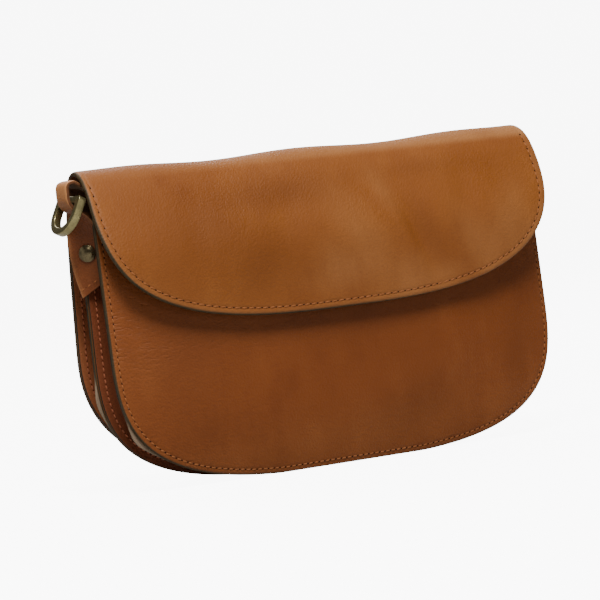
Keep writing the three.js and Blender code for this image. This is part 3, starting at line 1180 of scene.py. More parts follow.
@dataclass(frozen=True)
class Dent:
    """Soft dent or patch of a leather face: a bell that is longer one way, turned in the face."""

    x: float
    z: float
    turn: float
    length: float
    width: float
    depth: float
    skew: float = 1.0

    def at(self, x: Array, z: Array) -> Array:
        """Depth at points of the face; where across is above 0, the width is skew times as large.

        Args:
            x: Places across the width.
            z: Heights.

        Returns:
            Depths.
        """
        cos, sin = np.cos(np.radians(self.turn)), np.sin(np.radians(self.turn))
        along = (x - self.x) * cos + (z - self.z) * sin
        across = (z - self.z) * cos - (x - self.x) * sin
        width = np.where(across > 0, self.width * self.skew, self.width)
        return self.depth * bump(along, 0, self.length) * bump(across / width, 0, 1.0)


def dented(dents: tuple[Dent, ...], x: Array, z: Array) -> Array:
    """Depth of all dents together."""
    return sum((dent.at(x, z) for dent in dents), np.zeros(np.broadcast(x, z).shape))


class Builder(Protocol):
    """Sub-assembly of the bag."""

    def build(self, wardrobe: Wardrobe) -> list[Piece]:
        """Make its pieces and dress them."""


PANEL_WIDTH = 140.0
PANEL_CORNER = 79.0


@dataclass(frozen=True)
class FrontPanel:
    """Swelling front of the front compartment."""

    outline: Outline = Outline(PANEL_WIDTH, PANEL_CORNER, 3.2)
    grid: PanelGrid = PanelGrid(turns=110, step=2.6, fine=0.5, fine_to=7.0, coarse=3.0)
    seam: Seam = Seam(inset=2.9, pitch=3.55)
    stitch_top: float = 146.0
    foot: float = 26.4
    lean: float = np.radians(2.8)
    top: float = 150.0
    thickness: float = 2.0
    rim: float = 0.3
    swell: float = 10.0
    swell_flatness: int = 4
    swell_turn: float = 0.9 * np.pi
    swell_lift: float = 0.8
    dents: tuple[Dent, ...] = (
        Dent(62, 30, 20, 40, 16, 0.9), Dent(-60, 60, 75, 30, 14, 0.5), Dent(20, 70, 10, 50, 10, 0.4),
        Dent(95, 60, 80, 40, 14, 0.7),
    )
    # Darker patches; the long band at z 80 just under the flap's lip is painted shadow of the flap
    wax_and_painted_shade: tuple[Dent, ...] = (
        Dent(44, 22, 10, 36, 16, 0.55), Dent(30, 62, 5, 60, 13, 0.35), Dent(-100, 70, 80, 46, 24, 0.35),
        Dent(112, 50, 80, 34, 12, 0.35), Dent(0, 80, 3, 110, 12, 0.46),
    )
    # Painted light: a paler band along the bottom of the front
    wear_and_painted_light: tuple[Dent, ...] = (Dent(-10, 14, 3, 110, 14, 0.25),)
    creases: tuple[Dent, ...] = (Dent(-124, 96, 85, 28, 17, 1.0), Dent(-80, 78, 0, 40, 8, 0.5))
    # Pale band along the edge: rubbed wear with a painted highlight
    edge_rub_and_highlight: float = 0.35
    edge_rub_and_highlight_width: float = 2.4
    # Edge paint lapped onto the grain, thinned towards the right: on the left its dark band also paints the
    # shade along the edge
    paint_band: Span = (0.3, 0.65)
    paint_and_shade_fade: Span = (0.0, 80.0)
    paint_and_shade_loss: float = 0.5

    def edge_face(self, z: Array) -> Array:
        """Y of the outer face along the panel's edge, which leans back as it rises."""
        return -(self.foot - z * np.tan(self.lean))

    def edge_inner(self, z: Array) -> Array:
        """Y of the inner face along the panel's edge."""
        return self.edge_face(z) + self.thickness

    def face(self, x: Array, z: Array) -> Array:
        """Y of the outer face: the leaning plane, a pillow (1 - (x/a)^4) sin(0.9 pi u^0.8), and dents.

        Args:
            x: Places across the width.
            z: Heights.

        Returns:
            Y of each point.
        """
        lower = self.outline.lower(x)
        up = np.clip((z - lower) / (self.top - lower), 0, 1)
        level = 1 - np.clip(np.abs(x) / PANEL_WIDTH, 0, 1) ** self.swell_flatness
        pillow = level * np.sin(self.swell_turn * up**self.swell_lift)
        return self.edge_face(z) - self.swell * pillow + dented(self.dents, x, z)

    def sewn_face(self, x: Array, z: Array) -> Array:
        """Y of the outer face with the seam's groove and the fall to the cut edge."""
        away = self.outline.distance(x, z)
        return self.face(x, z) + (self.seam.pressed(away) + self.seam.trimmed(away))

    def marks(self, x: Array, z: Array) -> dict[str, Array]:
        """Wear, tone, painted light and painted shade of the face.

        Args:
            x: Places across the width.
            z: Heights.

        Returns:
            Marks that the finish reads, by name.
        """
        away = self.outline.distance(x, z)
        coat = 1 - self.paint_and_shade_loss * smoothstep(x, *self.paint_and_shade_fade)
        return {
            "rub_and_painted_light": self.edge_rub_and_highlight * np.exp(-away / self.edge_rub_and_highlight_width) + dented(self.wear_and_painted_light, x, z),
            "wax_and_painted_shade": dented(self.wax_and_painted_shade, x, z),
            "crease": dented(self.creases, x, z),
            "paint": coat * (1 - smoothstep(away, *self.paint_band)),
        }

    def build(self, wardrobe: Wardrobe) -> list[Piece]:
        """Make the sheet and its stitches.

        Args:
            wardrobe: Finishes.

        Returns:
            The pieces.
        """
        slot = "front_hide"
        x, z = self.grid.spread(self.outline, self.top)
        outer = np.stack([x, self.sewn_face(x, z), z], -1)
        inner = np.stack([x, self.face(x, z) + self.thickness, z], -1)
        shape = sheet(outer, inner, self.rim, self.marks(x, z))
        panel = shape.put("front_sheet", [wardrobe.front, wardrobe.flesh, wardrobe.paint])
        line = self.seam.line(self.outline, self.stitch_top)
        stitches = sew_face("front_stitches", self.sewn_face, line, Look.FRONT, wardrobe.sewing, slot)
        return [dress(panel, node="front_panel"), stitches]


@dataclass(frozen=True)
class Divider:
    """Flat panel between the compartments."""

    outline: Outline = Outline(PANEL_WIDTH, PANEL_CORNER, 3.3)
    grid: PanelGrid = PanelGrid(turns=110, step=4.0, fine=0.6, fine_to=2.4, coarse=6.0)
    top: float = 146.0
    thickness: float = 1.6
    rim: float = 0.25

    def front_face(self, z: Array) -> Array:
        """Y of the front face."""
        return np.full_like(z, -self.thickness / 2)

    def back_face(self, z: Array) -> Array:
        """Y of the back face."""
        return np.full_like(z, self.thickness / 2)

    def build(self, wardrobe: Wardrobe) -> list[Piece]:
        """Make the sheet.

        Args:
            wardrobe: Finishes.

        Returns:
            The piece, in a list.
        """
        x, z = self.grid.spread(self.outline, self.top)
        outer = np.stack([x, self.front_face(z), z], -1)
        inner = np.stack([x, self.back_face(z), z], -1)
        shape = sheet(outer, inner, self.rim, {})
        panel = shape.put("divider_sheet", [wardrobe.tan, wardrobe.flesh, wardrobe.paint])
        return [dress(panel, node="divider")]


FAR = 50.0


@dataclass(frozen=True)
class Hide:
    """Back panel, rounded top and flap in one sheet. Its profile runs up the back and down the flap."""

    back: Outline = Outline(PANEL_WIDTH, PANEL_CORNER, 2.5)
    flap: Outline = Outline(143.2, 73.5, 2.92, foot=86.4, settle=0.0)
    seam: Seam = Seam(pitch=4.35, fall=0.5)
    flap_stitch_top: float = 170.0
    back_stitch_top: float = 142.0
    thickness: float = 2.6
    rim: float = 0.4
    back_swell: float = 3.0
    flap_swell: float = 3.0
    swell_flatness: int = 4
    sag: float = 0.9
    wave: float = 1.0
    wave_length: float = 110.0
    wave_dip: float = -60.0
    crown: Span = (130.0, 170.0)
    # Each row of the profile: Y, Z, half-width and what the right end adds to it
    profile: tuple[tuple[float, float, float, float], ...] = (
        (24.2, 0.0, 140.0, 0), (20.3, 80.0, 140.0, 0), (15.7, 140.0, 140.0, 0), (11.8, 158.0, 140.3, 0),
        (5.4, 171.6, 141.0, 0), (-3.6, 175.9, 141.7, 0.5), (-12.2, 173.2, 142.1, 1.1),
        (-19.2, 165.4, 142.6, 1.4), (-26.4, 150.2, 143.2, 1.1), (-34.0, 127.0, 143.2, 0.3),
        (-36.0, 86.4, 143.2, 0),
    )
    # Profile rows where the back ends, the flap starts and its lip lies, and how far before the flap's start
    # its swell, its edge, its dents and its stitches begin
    back_high: float = 2.0
    shoulder: float = 7.0
    lip: float = 10.0
    swell_lead: float = 1.0
    edge_lead: float = 1.2
    dent_lead: float = 0.6
    stitch_lead: float = 1.6
    # How far past the back's end its stitches and the gusset's edge are looked for
    stitch_past: float = 0.6
    gusset_past: float = 1.0
    turns: int = 90
    step: float = 2.5
    closest: float = 3e-4
    back_rows: tuple[float, ...] = (140.0, 0.5, 6.0, 3.5)
    arch_rows: int = 46
    flap_rows: tuple[float, ...] = (80.0, 0.4, 6.0, 1.8)
    search_rows: int = 600
    dents: tuple[Dent, ...] = (
        Dent(51, 121, -68, 25, 4.2, 2.3, skew=3.2), Dent(92, 118, -60, 22, 9, 0.7),
        Dent(88, 140, 75, 22, 9, 0.6), Dent(-30, 138, 60, 24, 10, 0.6), Dent(-88, 132, 80, 22, 9, 0.5),
        Dent(10, 110, 15, 36, 9, 0.4),
    )
    # Darker patches; the one along the fold at x 61 is painted shade in the crease
    wax_and_painted_shade: tuple[Dent, ...] = (
        Dent(-76, 138, 8, 44, 24, 0.55), Dent(-26, 153, 0, 32, 9, 0.55), Dent(-46, 116, 25, 26, 13, 0.5),
        Dent(61, 117, -68, 24, 9, 0.4), Dent(70, 158, 0, 40, 5, 0.3),
    )
    # Paler patches; the one along the lip at x 54 is a painted highlight
    wear_and_painted_light: tuple[Dent, ...] = (
        Dent(16, 122, -60, 30, 15, 0.3), Dent(110, 120, 60, 26, 12, 0.35), Dent(36, 146, -70, 16, 6, 0.25),
        Dent(0, 103, 5, 26, 11, 0.3), Dent(44, 104, 15, 14, 8, 0.25), Dent(87, 115, -65, 20, 10, 0.36),
        Dent(126, 107, 40, 18, 12, 0.34), Dent(54, 95, 8, 28, 7, 0.36), Dent(-4, 112, -60, 14, 9, 0.22),
    )
    # Pale band along the edge: rubbed wear with a painted highlight
    edge_rub_and_highlight: float = 0.42
    edge_rub_and_highlight_width: float = 2.4
    # Painted sheen: a paler band along the ridge between these heights, stronger towards the right
    ridge: Span = (167.5, 171.5)
    ridge_painted_sheen: float = 0.44
    ridge_painted_sheen_right: float = 0.36
    # Edge paint lapped onto the grain, fading out towards the right: on the left its dark band also paints
    # the shade along the edge
    paint_band: Span = (0.4, 0.8)
    paint_and_shade_fade: Span = (-20.0, 70.0)

    def profile_at(self, at: Array) -> Array:
        """Y, Z, half-width and what the right end adds, on the first axis, at fractional profile rows."""
        return np.moveaxis(spline(np.array(self.profile), at), -1, 0)

    def row_at(self, z: Array, low: float, high: float) -> Array:
        """Find profile rows by height, between two rows where the height runs one way.

        Args:
            z: Heights.
            low: First row.
            high: Last row.

        Returns:
            Fractional rows.
        """
        at = np.linspace(low, high, self.search_rows)
        heights = self.profile_at(at)[1]
        if heights[0] > heights[-1]:
            at, heights = at[::-1], heights[::-1]
        return np.interp(z, heights, at)

    def middle(self, at: Array, across: Array) -> Array:
        """Points of the outer face before seams: the profile, its swell and the waves of the ridge.

        Args:
            at: Fractional profile rows.
            across: Shares of the half-width, from -1 to 1.

        Returns:
            Points, X, Y and Z on the last axis.
        """
        y, z, half, right = self.profile_at(at)
        x = across * (half + np.where(across > 0, right, 0))
        level = 1 - across**self.swell_flatness
        back = self.back_swell * np.sin(np.pi * np.clip(at / self.back_high, 0, 1))
        flap = self.flap_swell * smoothstep(at, self.shoulder - self.swell_lead, self.lip)
        sag = self.sag * (1 - across**2)
        ripple = self.wave * np.cos(2 * np.pi * (x - self.wave_dip) / self.wave_length) * level
        return np.stack([x, y + (back - flap) * level, z - smoothstep(z, *self.crown) * (sag + ripple)], -1)

    def flap_dents(self, at: Array, x: Array, z: Array) -> Array:
        """Depth of the flap's dents, which start at its shoulder."""
        on_flap = smoothstep(at, self.shoulder - self.dent_lead, self.shoulder + self.dent_lead)
        return on_flap * dented(self.dents, x, z)

    def faces(self, at: Array, across: Array) -> tuple[Array, Array, Array]:
        """Both faces on a grid: the inner one lies a thickness in, and dents bend both.

        Args:
            at: Fractional profile rows, running along the first axis.
            across: Shares of the half-width.

        Returns:
            Outer face, inner face and distance from the edge.
        """
        points = self.middle(at, across)
        x, z = points[..., 0], points[..., 2]
        along = np.gradient(points, axis=0)
        out = unit(np.stack([np.zeros_like(at), along[..., 2], -along[..., 1]], -1))
        flap = np.where(at > self.shoulder - self.edge_lead, self.flap.distance(x, z), FAR)
        back = np.where(at < self.back_high, self.back.distance(x, z), FAR)
        side = self.flap.half_width * (1 - np.abs(across))
        edge = np.minimum(np.minimum(flap, back), side)
        sunk = self.seam.pressed(flap) + self.seam.pressed(back) + self.seam.trimmed(edge)
        dent = self.flap_dents(at, x, z)
        inner = points - out * (self.thickness + dent)[..., None]
        # The back stands on its whole edge, so both faces end at one height
        inner[0, :, 2] = points[0, :, 2]
        return points - out * (sunk + dent)[..., None], inner, edge

    def flap_face(self, x: Array, z: Array) -> Array:
        """Y of the flap's outer face, with dents and the seam.

        Args:
            x: Places across the width.
            z: Heights.

        Returns:
            Y of each point.
        """
        at = self.row_at(z, self.shoulder - self.stitch_lead, self.lip)
        _, _, half, right = self.profile_at(at)
        points = self.middle(at, np.clip(x / (half + np.where(x > 0, right, 0)), -1, 1))
        return points[..., 1] + self.seam.pressed(self.flap.distance(x, z)) + self.flap_dents(at, x, z)

    def back_face(self, x: Array, z: Array) -> Array:
        """Y of the back's outer face, with the seam.

        Args:
            x: Places across the width.
            z: Heights.

        Returns:
            Y of each point.
        """
        at = self.row_at(z, 0, self.back_high + self.stitch_past)
        points = self.middle(at, np.clip(x / PANEL_WIDTH, -1, 1))
        return points[..., 1] - self.seam.pressed(self.back.distance(x, z))

    def edge_inner(self, z: Array) -> Array:
        """Y of the back's inner face along its edge."""
        at = self.row_at(z, 0, self.back_high + self.gusset_past)
        return self.profile_at(at)[0] - self.thickness

    def grid(self) -> tuple[Array, Array]:
        """Spread the sheet's points: rows up the back, over the top and down the flap.

        Returns:
            Fractional profile rows, and shares of the half-width.
        """
        across = np.union1d(self.back.columns(self.turns, self.step), self.flap.columns(self.turns))
        across = across[np.concatenate([np.diff(across) > self.closest, [True]])]
        foot = self.row_at(self.back.lower(across * PANEL_WIDTH), 0, self.back_high)
        lip = self.row_at(self.flap.lower(across * self.flap.half_width), self.shoulder, self.lip)
        up = graded(*self.back_rows)[:-1, None]
        arch = np.linspace(self.back_high, self.shoulder, self.arch_rows)[:-1, None]
        down = 1 - graded(*self.flap_rows)[::-1, None]
        at = np.concatenate([
            foot + (self.back_high - foot) * up,
            np.broadcast_to(arch, (len(arch), len(across))),
            self.shoulder + (lip - self.shoulder) * down,
        ])
        return at, np.broadcast_to(across, at.shape)

    def marks(self, at: Array, outer: Array, edge: Array) -> dict[str, Array]:
        """Wear, tone, painted light and painted shade of the sheet.

        Args:
            at: Fractional profile rows.
            outer: Outer face.
            edge: Distance from the edge.

        Returns:
            Marks that the finish reads, by name.
        """
        x, z = outer[..., 0], outer[..., 2]
        on_flap = at > self.shoulder - self.swell_lead
        ridge = smoothstep(z, *self.ridge) * (self.ridge_painted_sheen + self.ridge_painted_sheen_right * x / PANEL_WIDTH)
        wear_and_painted_light = np.where(on_flap, dented(self.wear_and_painted_light, x, z), 0)
        rub_and_painted_light = self.edge_rub_and_highlight * np.exp(-edge / self.edge_rub_and_highlight_width) + ridge + wear_and_painted_light
        return {
            "rub_and_painted_light": np.clip(rub_and_painted_light, 0, 1),
            "wax_and_painted_shade": np.where(on_flap, dented(self.wax_and_painted_shade, x, z), 0),
            "paint": (1 - smoothstep(x, *self.paint_and_shade_fade)) * (1 - smoothstep(edge, *self.paint_band)),
        }

    def build(self, wardrobe: Wardrobe) -> list[Piece]:
        """Make the sheet, the flap's stitches and the back's stitches.

        Args:
            wardrobe: Finishes.

        Returns:
            The pieces.
        """
        slot = "tan_hide"
        at, across = self.grid()
        outer, inner, edge = self.faces(at, across)
        shape = sheet(outer, inner, self.rim, self.marks(at, outer, edge))
        hide = shape.put("hide_sheet", [wardrobe.tan, wardrobe.flesh, wardrobe.paint])
        flap_line = self.seam.line(self.flap, self.flap_stitch_top)
        back_line = self.seam.line(self.back, self.back_stitch_top)
        return [
            dress(hide, node="back_and_flap"),
            sew_face("flap_stitches", self.flap_face, flap_line, Look.FRONT, wardrobe.sewing, slot),
            sew_face("back_stitches", self.back_face, back_line, Look.BACK, wardrobe.sewing, slot),
        ]


@dataclass(frozen=True)
class Flare:
    """Place at the left lower corner where a gusset's front flange stands out past the panel, bare."""

    height: float
    spread: float
    reach: float
    depth: float = 7.0
    front_share: float = 0.3
    bare_gain: float = 3.0

    def stand(self, edge: Array, depth: Array, over: Array) -> Array:
        """How far the flange stands out: a bell up the left side, which fades down the channel's front wall.

        Args:
            edge: X and Z of the panel's edge.
            depth: Depth in the channel.
            over: Share of the way from the front panel to the back one.

        Returns:
            Distances, with a row for each point of the edge.
        """
        reach = self.reach * bump(edge[:, 1], self.height, self.spread) * (edge[:, 0] < 0)
        fade = np.clip(1 - depth / self.depth, 0, 1) ** 2
        return reach[:, None] * fade * (over < self.front_share)

    def bare(self, stand: Array) -> Array:
        """Share of bare fibre where the flange stands out."""
        return np.clip(stand / self.reach * self.bare_gain, 0, 1)


@dataclass(frozen=True)
class Gusset:
    """Channel strip between two panels, sewn to both along its flanges. The front panel comes first."""

    node: str
    front: Outline
    back: Outline
    front_face: Callable[[Array], Array]
    back_face: Callable[[Array], Array]
    flare: Flare
    # Painted shade: shade darkens the whole strip evenly, and fade lightens it evenly as painted light
    shade: float
    fade: float
    top: float = 146.0
    stitch_top: float = 138.0
    thickness: float = 1.4
    rim: float = 0.2
    gap: float = 0.05
    recess: float = 0.3
    seam: Seam = Seam(inset=4.2, pitch=3.25)
    side_steps: int = 30
    base_steps: int = 260
    # Each row of the section: depth in the channel, and share of the way from front to back panel
    section: tuple[tuple[float, float], ...] = (
        (0, 0), (4.5, 0), (9, 0.02), (12.6, 0.14), (14.4, 0.36),
        (14.4, 0.64), (12.6, 0.86), (9, 0.98), (4.5, 1), (0, 1),
    )
    rim_rows: tuple[float, ...] = (0.0, 0.08, 0.2)
    first_row: float = 0.4
    inner_rows: int = 38

    def channel(self) -> tuple[Array, Array]:
        """Points over the channel, closer together at both rims.

        Returns:
            Depth in the channel, and share of the way over it.
        """
        last = len(self.section) - 1
        rim = np.array(self.rim_rows)
        inner = np.linspace(self.first_row, last - self.first_row, self.inner_rows)
        depth, over = spline(np.array(self.section), np.concatenate([rim, inner, last - rim[::-1]])).T
        return depth, np.clip(over, 0, 1)

    def faces(self) -> tuple[Array, Array, dict[str, Array]]:
        """Carry the section round both panels' edges: each point lies between them by its share over.

        Returns:
            Channel side, panel side and marks, on a grid whose rows run round the bag.
        """
        depth, over = self.channel()
        front = self.front.path(self.top, self.side_steps, self.base_steps)
        back = self.back.path(self.top, self.side_steps, self.base_steps)
        clear = self.gap + self.thickness / 2
        start = self.front_face(front[:, 1]) + clear
        end = self.back_face(back[:, 1]) - clear
        y = start[:, None] + (end - start)[:, None] * over
        stand = self.flare.stand(front, depth, over)
        inset = self.recess + depth[None] - stand
        slope = np.stack([-np.gradient(y, axis=1), np.gradient(inset, axis=1)], -1)
        square = unit(slope) * self.thickness / 2
        sides = []
        for sign in (1, -1):
            deep = (inset + sign * square[..., 0])[..., None]
            near = front[:, None] + deep * inward(front)[:, None]
            far = back[:, None] + deep * inward(back)[:, None]
            spot = near * (1 - over[None, :, None]) + far * over[None, :, None]
            sides.append(np.stack([spot[..., 0], y + sign * square[..., 1], spot[..., 1]], -1))
        # Even painted light and painted shade over the whole strip
        rub_and_painted_light = np.full_like(y, self.fade)
        wax_and_painted_shade = np.full_like(y, self.shade)
        return sides[0], sides[1], {"rub_and_painted_light": rub_and_painted_light, "wax_and_painted_shade": wax_and_painted_shade, "bare": self.flare.bare(stand)}

    def sew_flange(self, label: str, look: Look, wardrobe: Wardrobe) -> Piece:
        """Sew one flange on the side that faces the channel.

        Args:
            label: Which flange, front or back.
            look: Way that its inner side looks.
            wardrobe: Finishes.

        Returns:
            The stitches.
        """
        edges = {Look.BACK: (self.front, self.front_face), Look.FRONT: (self.back, self.back_face)}
        outline, panel_face = edges[look]
        reach = look * (self.gap + self.thickness)

        def face(x: Array, z: Array) -> Array:
            """Y of the flange's inner side, the same all across."""
            return panel_face(z) + reach

        line = self.seam.line(outline, self.stitch_top)
        name = f"{self.node}_strip_{label}_stitches"
        return sew_face(name, face, line, look, wardrobe.strip_sewing, f"{self.node}_hide")

    def build(self, wardrobe: Wardrobe) -> list[Piece]:
        """Make the strip and the stitches of both flanges.

        Args:
            wardrobe: Finishes.

        Returns:
            The pieces.
        """
        channel, panel, marks = self.faces()
        shape = sheet(channel, panel, self.rim, marks)
        strip = shape.put(f"{self.node}_strip", [wardrobe.strip, wardrobe.flesh, wardrobe.raw_edge])
        return [
            dress(strip, node=self.node),
            self.sew_flange("front", Look.BACK, wardrobe),
            self.sew_flange("back", Look.FRONT, wardrobe),
        ]


@dataclass(frozen=True)
class Stations:
    """Places on a tab's middle line, with the strip's directions, width and slant at each."""

    place: Array
    along: Array
    across: Array
    out: Array
    width: Array
    slant: Array


@dataclass(frozen=True)
class Tab:
    """Leather strip that loops round a ring's bar and is sewn and riveted on the bag's end."""

    end: End
    inward: float = 0.0
    down: float = 0.0
    back: float = 0.0
    thickness: float = 1.8
    rim: float = 0.3
    rivet_row: float = 13.0
    # Each row: distance out, Y, Z, angle to the front, width, slant, and how far the loop's shift moves it
    rows: tuple[tuple[float, ...], ...] = (
        (123.2, -9.2, 132.0, 0, 12.0, 0, 0), (123.4, -9.2, 147.0, 0, 12.0, 0, 0),
        (127.2, -8.0, 158.5, 0, 12.5, 0, 0), (134.6, -6.4, 165.8, 0, 12.8, 0, 0.7),
        (141.2, -5.4, 168.0, 0, 12.6, 0, 1), (146.0, -5.6, 170.3, 0, 13.0, 0, 1),
        (149.5, -5.8, 169.2, 0, 13.0, 0, 1), (150.3, -5.8, 164.2, 0, 13.0, 0, 1),
        (149.8, -5.8, 159.5, 0, 13.0, 0, 1), (147.3, -5.8, 155.9, 0, 13.0, 0, 1),
        (144.4, -5.8, 154.4, 6, 13.4, 0, 0.7), (142.2, -5.6, 150.4, 22, 15.6, 0, 0.25),
        (140.3, -5.2, 142.2, 42, 18.8, 0, 0), (138.7, -5.2, 131.5, 48, 20.0, 0, 0),
        (137.8, -5.5, 124.0, 51, 20.0, 0, 0), (136.9, -5.9, 118.0, 55, 19.4, 0, 0),
        (136.0, -6.2, 112.6, 60, 18.0, 3.5, 0),
    )
    even_rows: int = 190
    end_rows: tuple[float, ...] = (0.3, 0.22, 0.15, 0.09, 0.05, 0.02, 0.0)
    half_shares: tuple[float, ...] = (0.25, 0.5, 0.75, 0.9, 0.955, 0.985, 1.0)
    row_nudge: float = 0.02
    crown: float = 0.25
    edge_fall: float = 0.3
    edge_sharpness: int = 14
    # Pale edges: rubbed wear with a painted highlight
    edge_rub_and_highlight: float = 0.6
    edge_rub_and_highlight_sharpness: int = 10
    # Painted light: a paler band across the loop's outer face
    loop_painted_light: float = 0.9
    loop_row: float = 6.5
    loop_spread: float = 2.0
    bare: float = 0.35
    stitch: Stitch = Stitch(share=0.56, width=0.8)
    stitch_count: int = 5
    stitch_rows_in: float = 0.62
    stitch_reach: float = 0.8
    stitch_slant: float = 3.0
    stitch_lift: float = 0.12

    def stations(self, at: Array) -> Stations:
        """Follow the strip: a curve through its rows, its width at the row's angle and square to its run.

        Args:
            at: Fractional rows.

        Returns:
            The strip at those rows.
        """
        table = np.array(self.rows)
        facing, width, slant, loop = table[:, 3:].T
        shift = loop[:, None] * (-self.inward, self.back, -self.down)
        path = (table[:, :3] + shift) * (self.end, 1, 1)
        number = np.arange(len(table))
        after = np.clip(at + self.row_nudge, 0, number[-1])
        before = np.clip(at - self.row_nudge, 0, number[-1])
        along = unit(spline(path, after) - spline(path, before))
        angle = np.radians(np.interp(at, number, facing))
        across = np.stack([-self.end * np.sin(angle), -np.cos(angle), np.zeros_like(at)], -1)
        across = unit(across - along * np.sum(across * along, -1, keepdims=True))
        out = np.cross(along, across) * -self.end
        widths = np.interp(at, number, width)
        return Stations(spline(path, at), along, across, out, widths, np.interp(at, number, slant))

    def build(self, wardrobe: Wardrobe) -> list[Piece]:
        """Make the strip, a grid of rows along it and shares of its width, and its stitches.

        Args:
            wardrobe: Finishes.

        Returns:
            The pieces.
        """
        last = len(self.rows) - 1
        ends = last - np.array(self.end_rows)
        at = np.concatenate([np.linspace(0, ends[0], self.even_rows), ends[1:]])
        half = np.array(self.half_shares)
        share = np.concatenate([-half[::-1], [0], half])
        line = self.stations(at)
        aside = share[None, :, None] * line.width[:, None, None] / 2
        spot = line.place[:, None] + line.across[:, None] * aside
        spot = spot - line.along[:, None] * (share[None, :, None] * line.slant[:, None, None])
        crown = self.crown * (1 - share**2) - self.edge_fall * np.abs(share) ** self.edge_sharpness
        outer = spot + line.out[:, None] * (self.thickness / 2 + crown[None, :, None])
        inner = spot - line.out[:, None] * self.thickness / 2
        loop = self.loop_painted_light * bump(at, self.loop_row, self.loop_spread)
        rub_and_painted_light = self.edge_rub_and_highlight * np.abs(share) ** self.edge_rub_and_highlight_sharpness + loop[:, None]
        shape = sheet(outer, inner, self.rim, {"rub_and_painted_light": rub_and_painted_light, "bare": np.full_like(rub_and_painted_light, self.bare)})
        strip = shape.put(f"{self.end.label}_tab_strip", [wardrobe.tab, wardrobe.flesh, wardrobe.tab_edge])
        return [dress(strip, node=f"{self.end.label}_tab"), self.end_stitches(wardrobe)]

    def end_stitches(self, wardrobe: Wardrobe) -> Piece:
        """Sew a slanting row across the strip near its cut end.

        Args:
            wardrobe: Finishes.

        Returns:
            The stitches.
        """
        line = self.stations(np.full(self.stitch_count, len(self.rows) - 1 - self.stitch_rows_in))
        share = np.linspace(-self.stitch_reach, self.stitch_reach, self.stitch_count)[:, None]
        half = line.width[:, None] / 2
        spot = line.place + line.across * share * half - line.along * share * self.stitch_slant
        run = unit(line.across * half - line.along * self.stitch_slant)
        places = spot + line.out * (self.thickness / 2 + self.stitch_lift)
        name = f"{self.end.label}_tab_stitches"
        return self.stitch.sew(name, places, run, line.out, wardrobe.sewing, "tab_hide")


# Brass pieces


@dataclass(frozen=True)
class Rivet:
    """Domed rivet on a tab. Each row of its profile is a radius and a height off the leather."""

    tab: Tab
    sides: int = 40
    rings: int = 49
    profile: tuple[tuple[float, float], ...] = (
        (0.02, -1.2), (1.8, -1.2), (1.8, 0.45), (4.3, 0.5), (4.65, 0.6), (4.7, 0.8), (4.6, 1.02), (4.3, 1.2),
        (3.7, 1.5), (2.9, 1.95), (2.0, 2.3), (1.0, 2.48), (0.02, 2.52),
    )

    def build(self, wardrobe: Wardrobe) -> list[Piece]:
        """Turn the profile about the tab's normal: each point is axis x height + radius (cos, sin).

        Args:
            wardrobe: Finishes.

        Returns:
            The piece, in a list.
        """
        line = self.tab.stations(np.array([self.tab.rivet_row]))
        axis, across = line.out[0], line.across[0]
        seat = line.place[0] + axis * self.tab.thickness / 2
        rows = np.linspace(0, len(self.profile) - 1, self.rings)
        radius, height = spline(np.array(self.profile), rows).T
        radius = np.maximum(radius, self.profile[0][0])
        turn = np.arange(self.sides) * 2 * np.pi / self.sides
        ring = np.cos(turn)[:, None] * across + np.sin(turn)[:, None] * np.cross(axis, across)
        points = seat + height[:, None, None] * axis + radius[:, None, None] * ring
        shape = Shape(points.reshape(-1, 3), tube_quads(self.rings, self.sides)).outward()
        head = shape.put(f"{self.tab.end.label}_rivet_head", [wardrobe.rivet])
        return [dress(head, node=f"{self.tab.end.label}_rivet")]


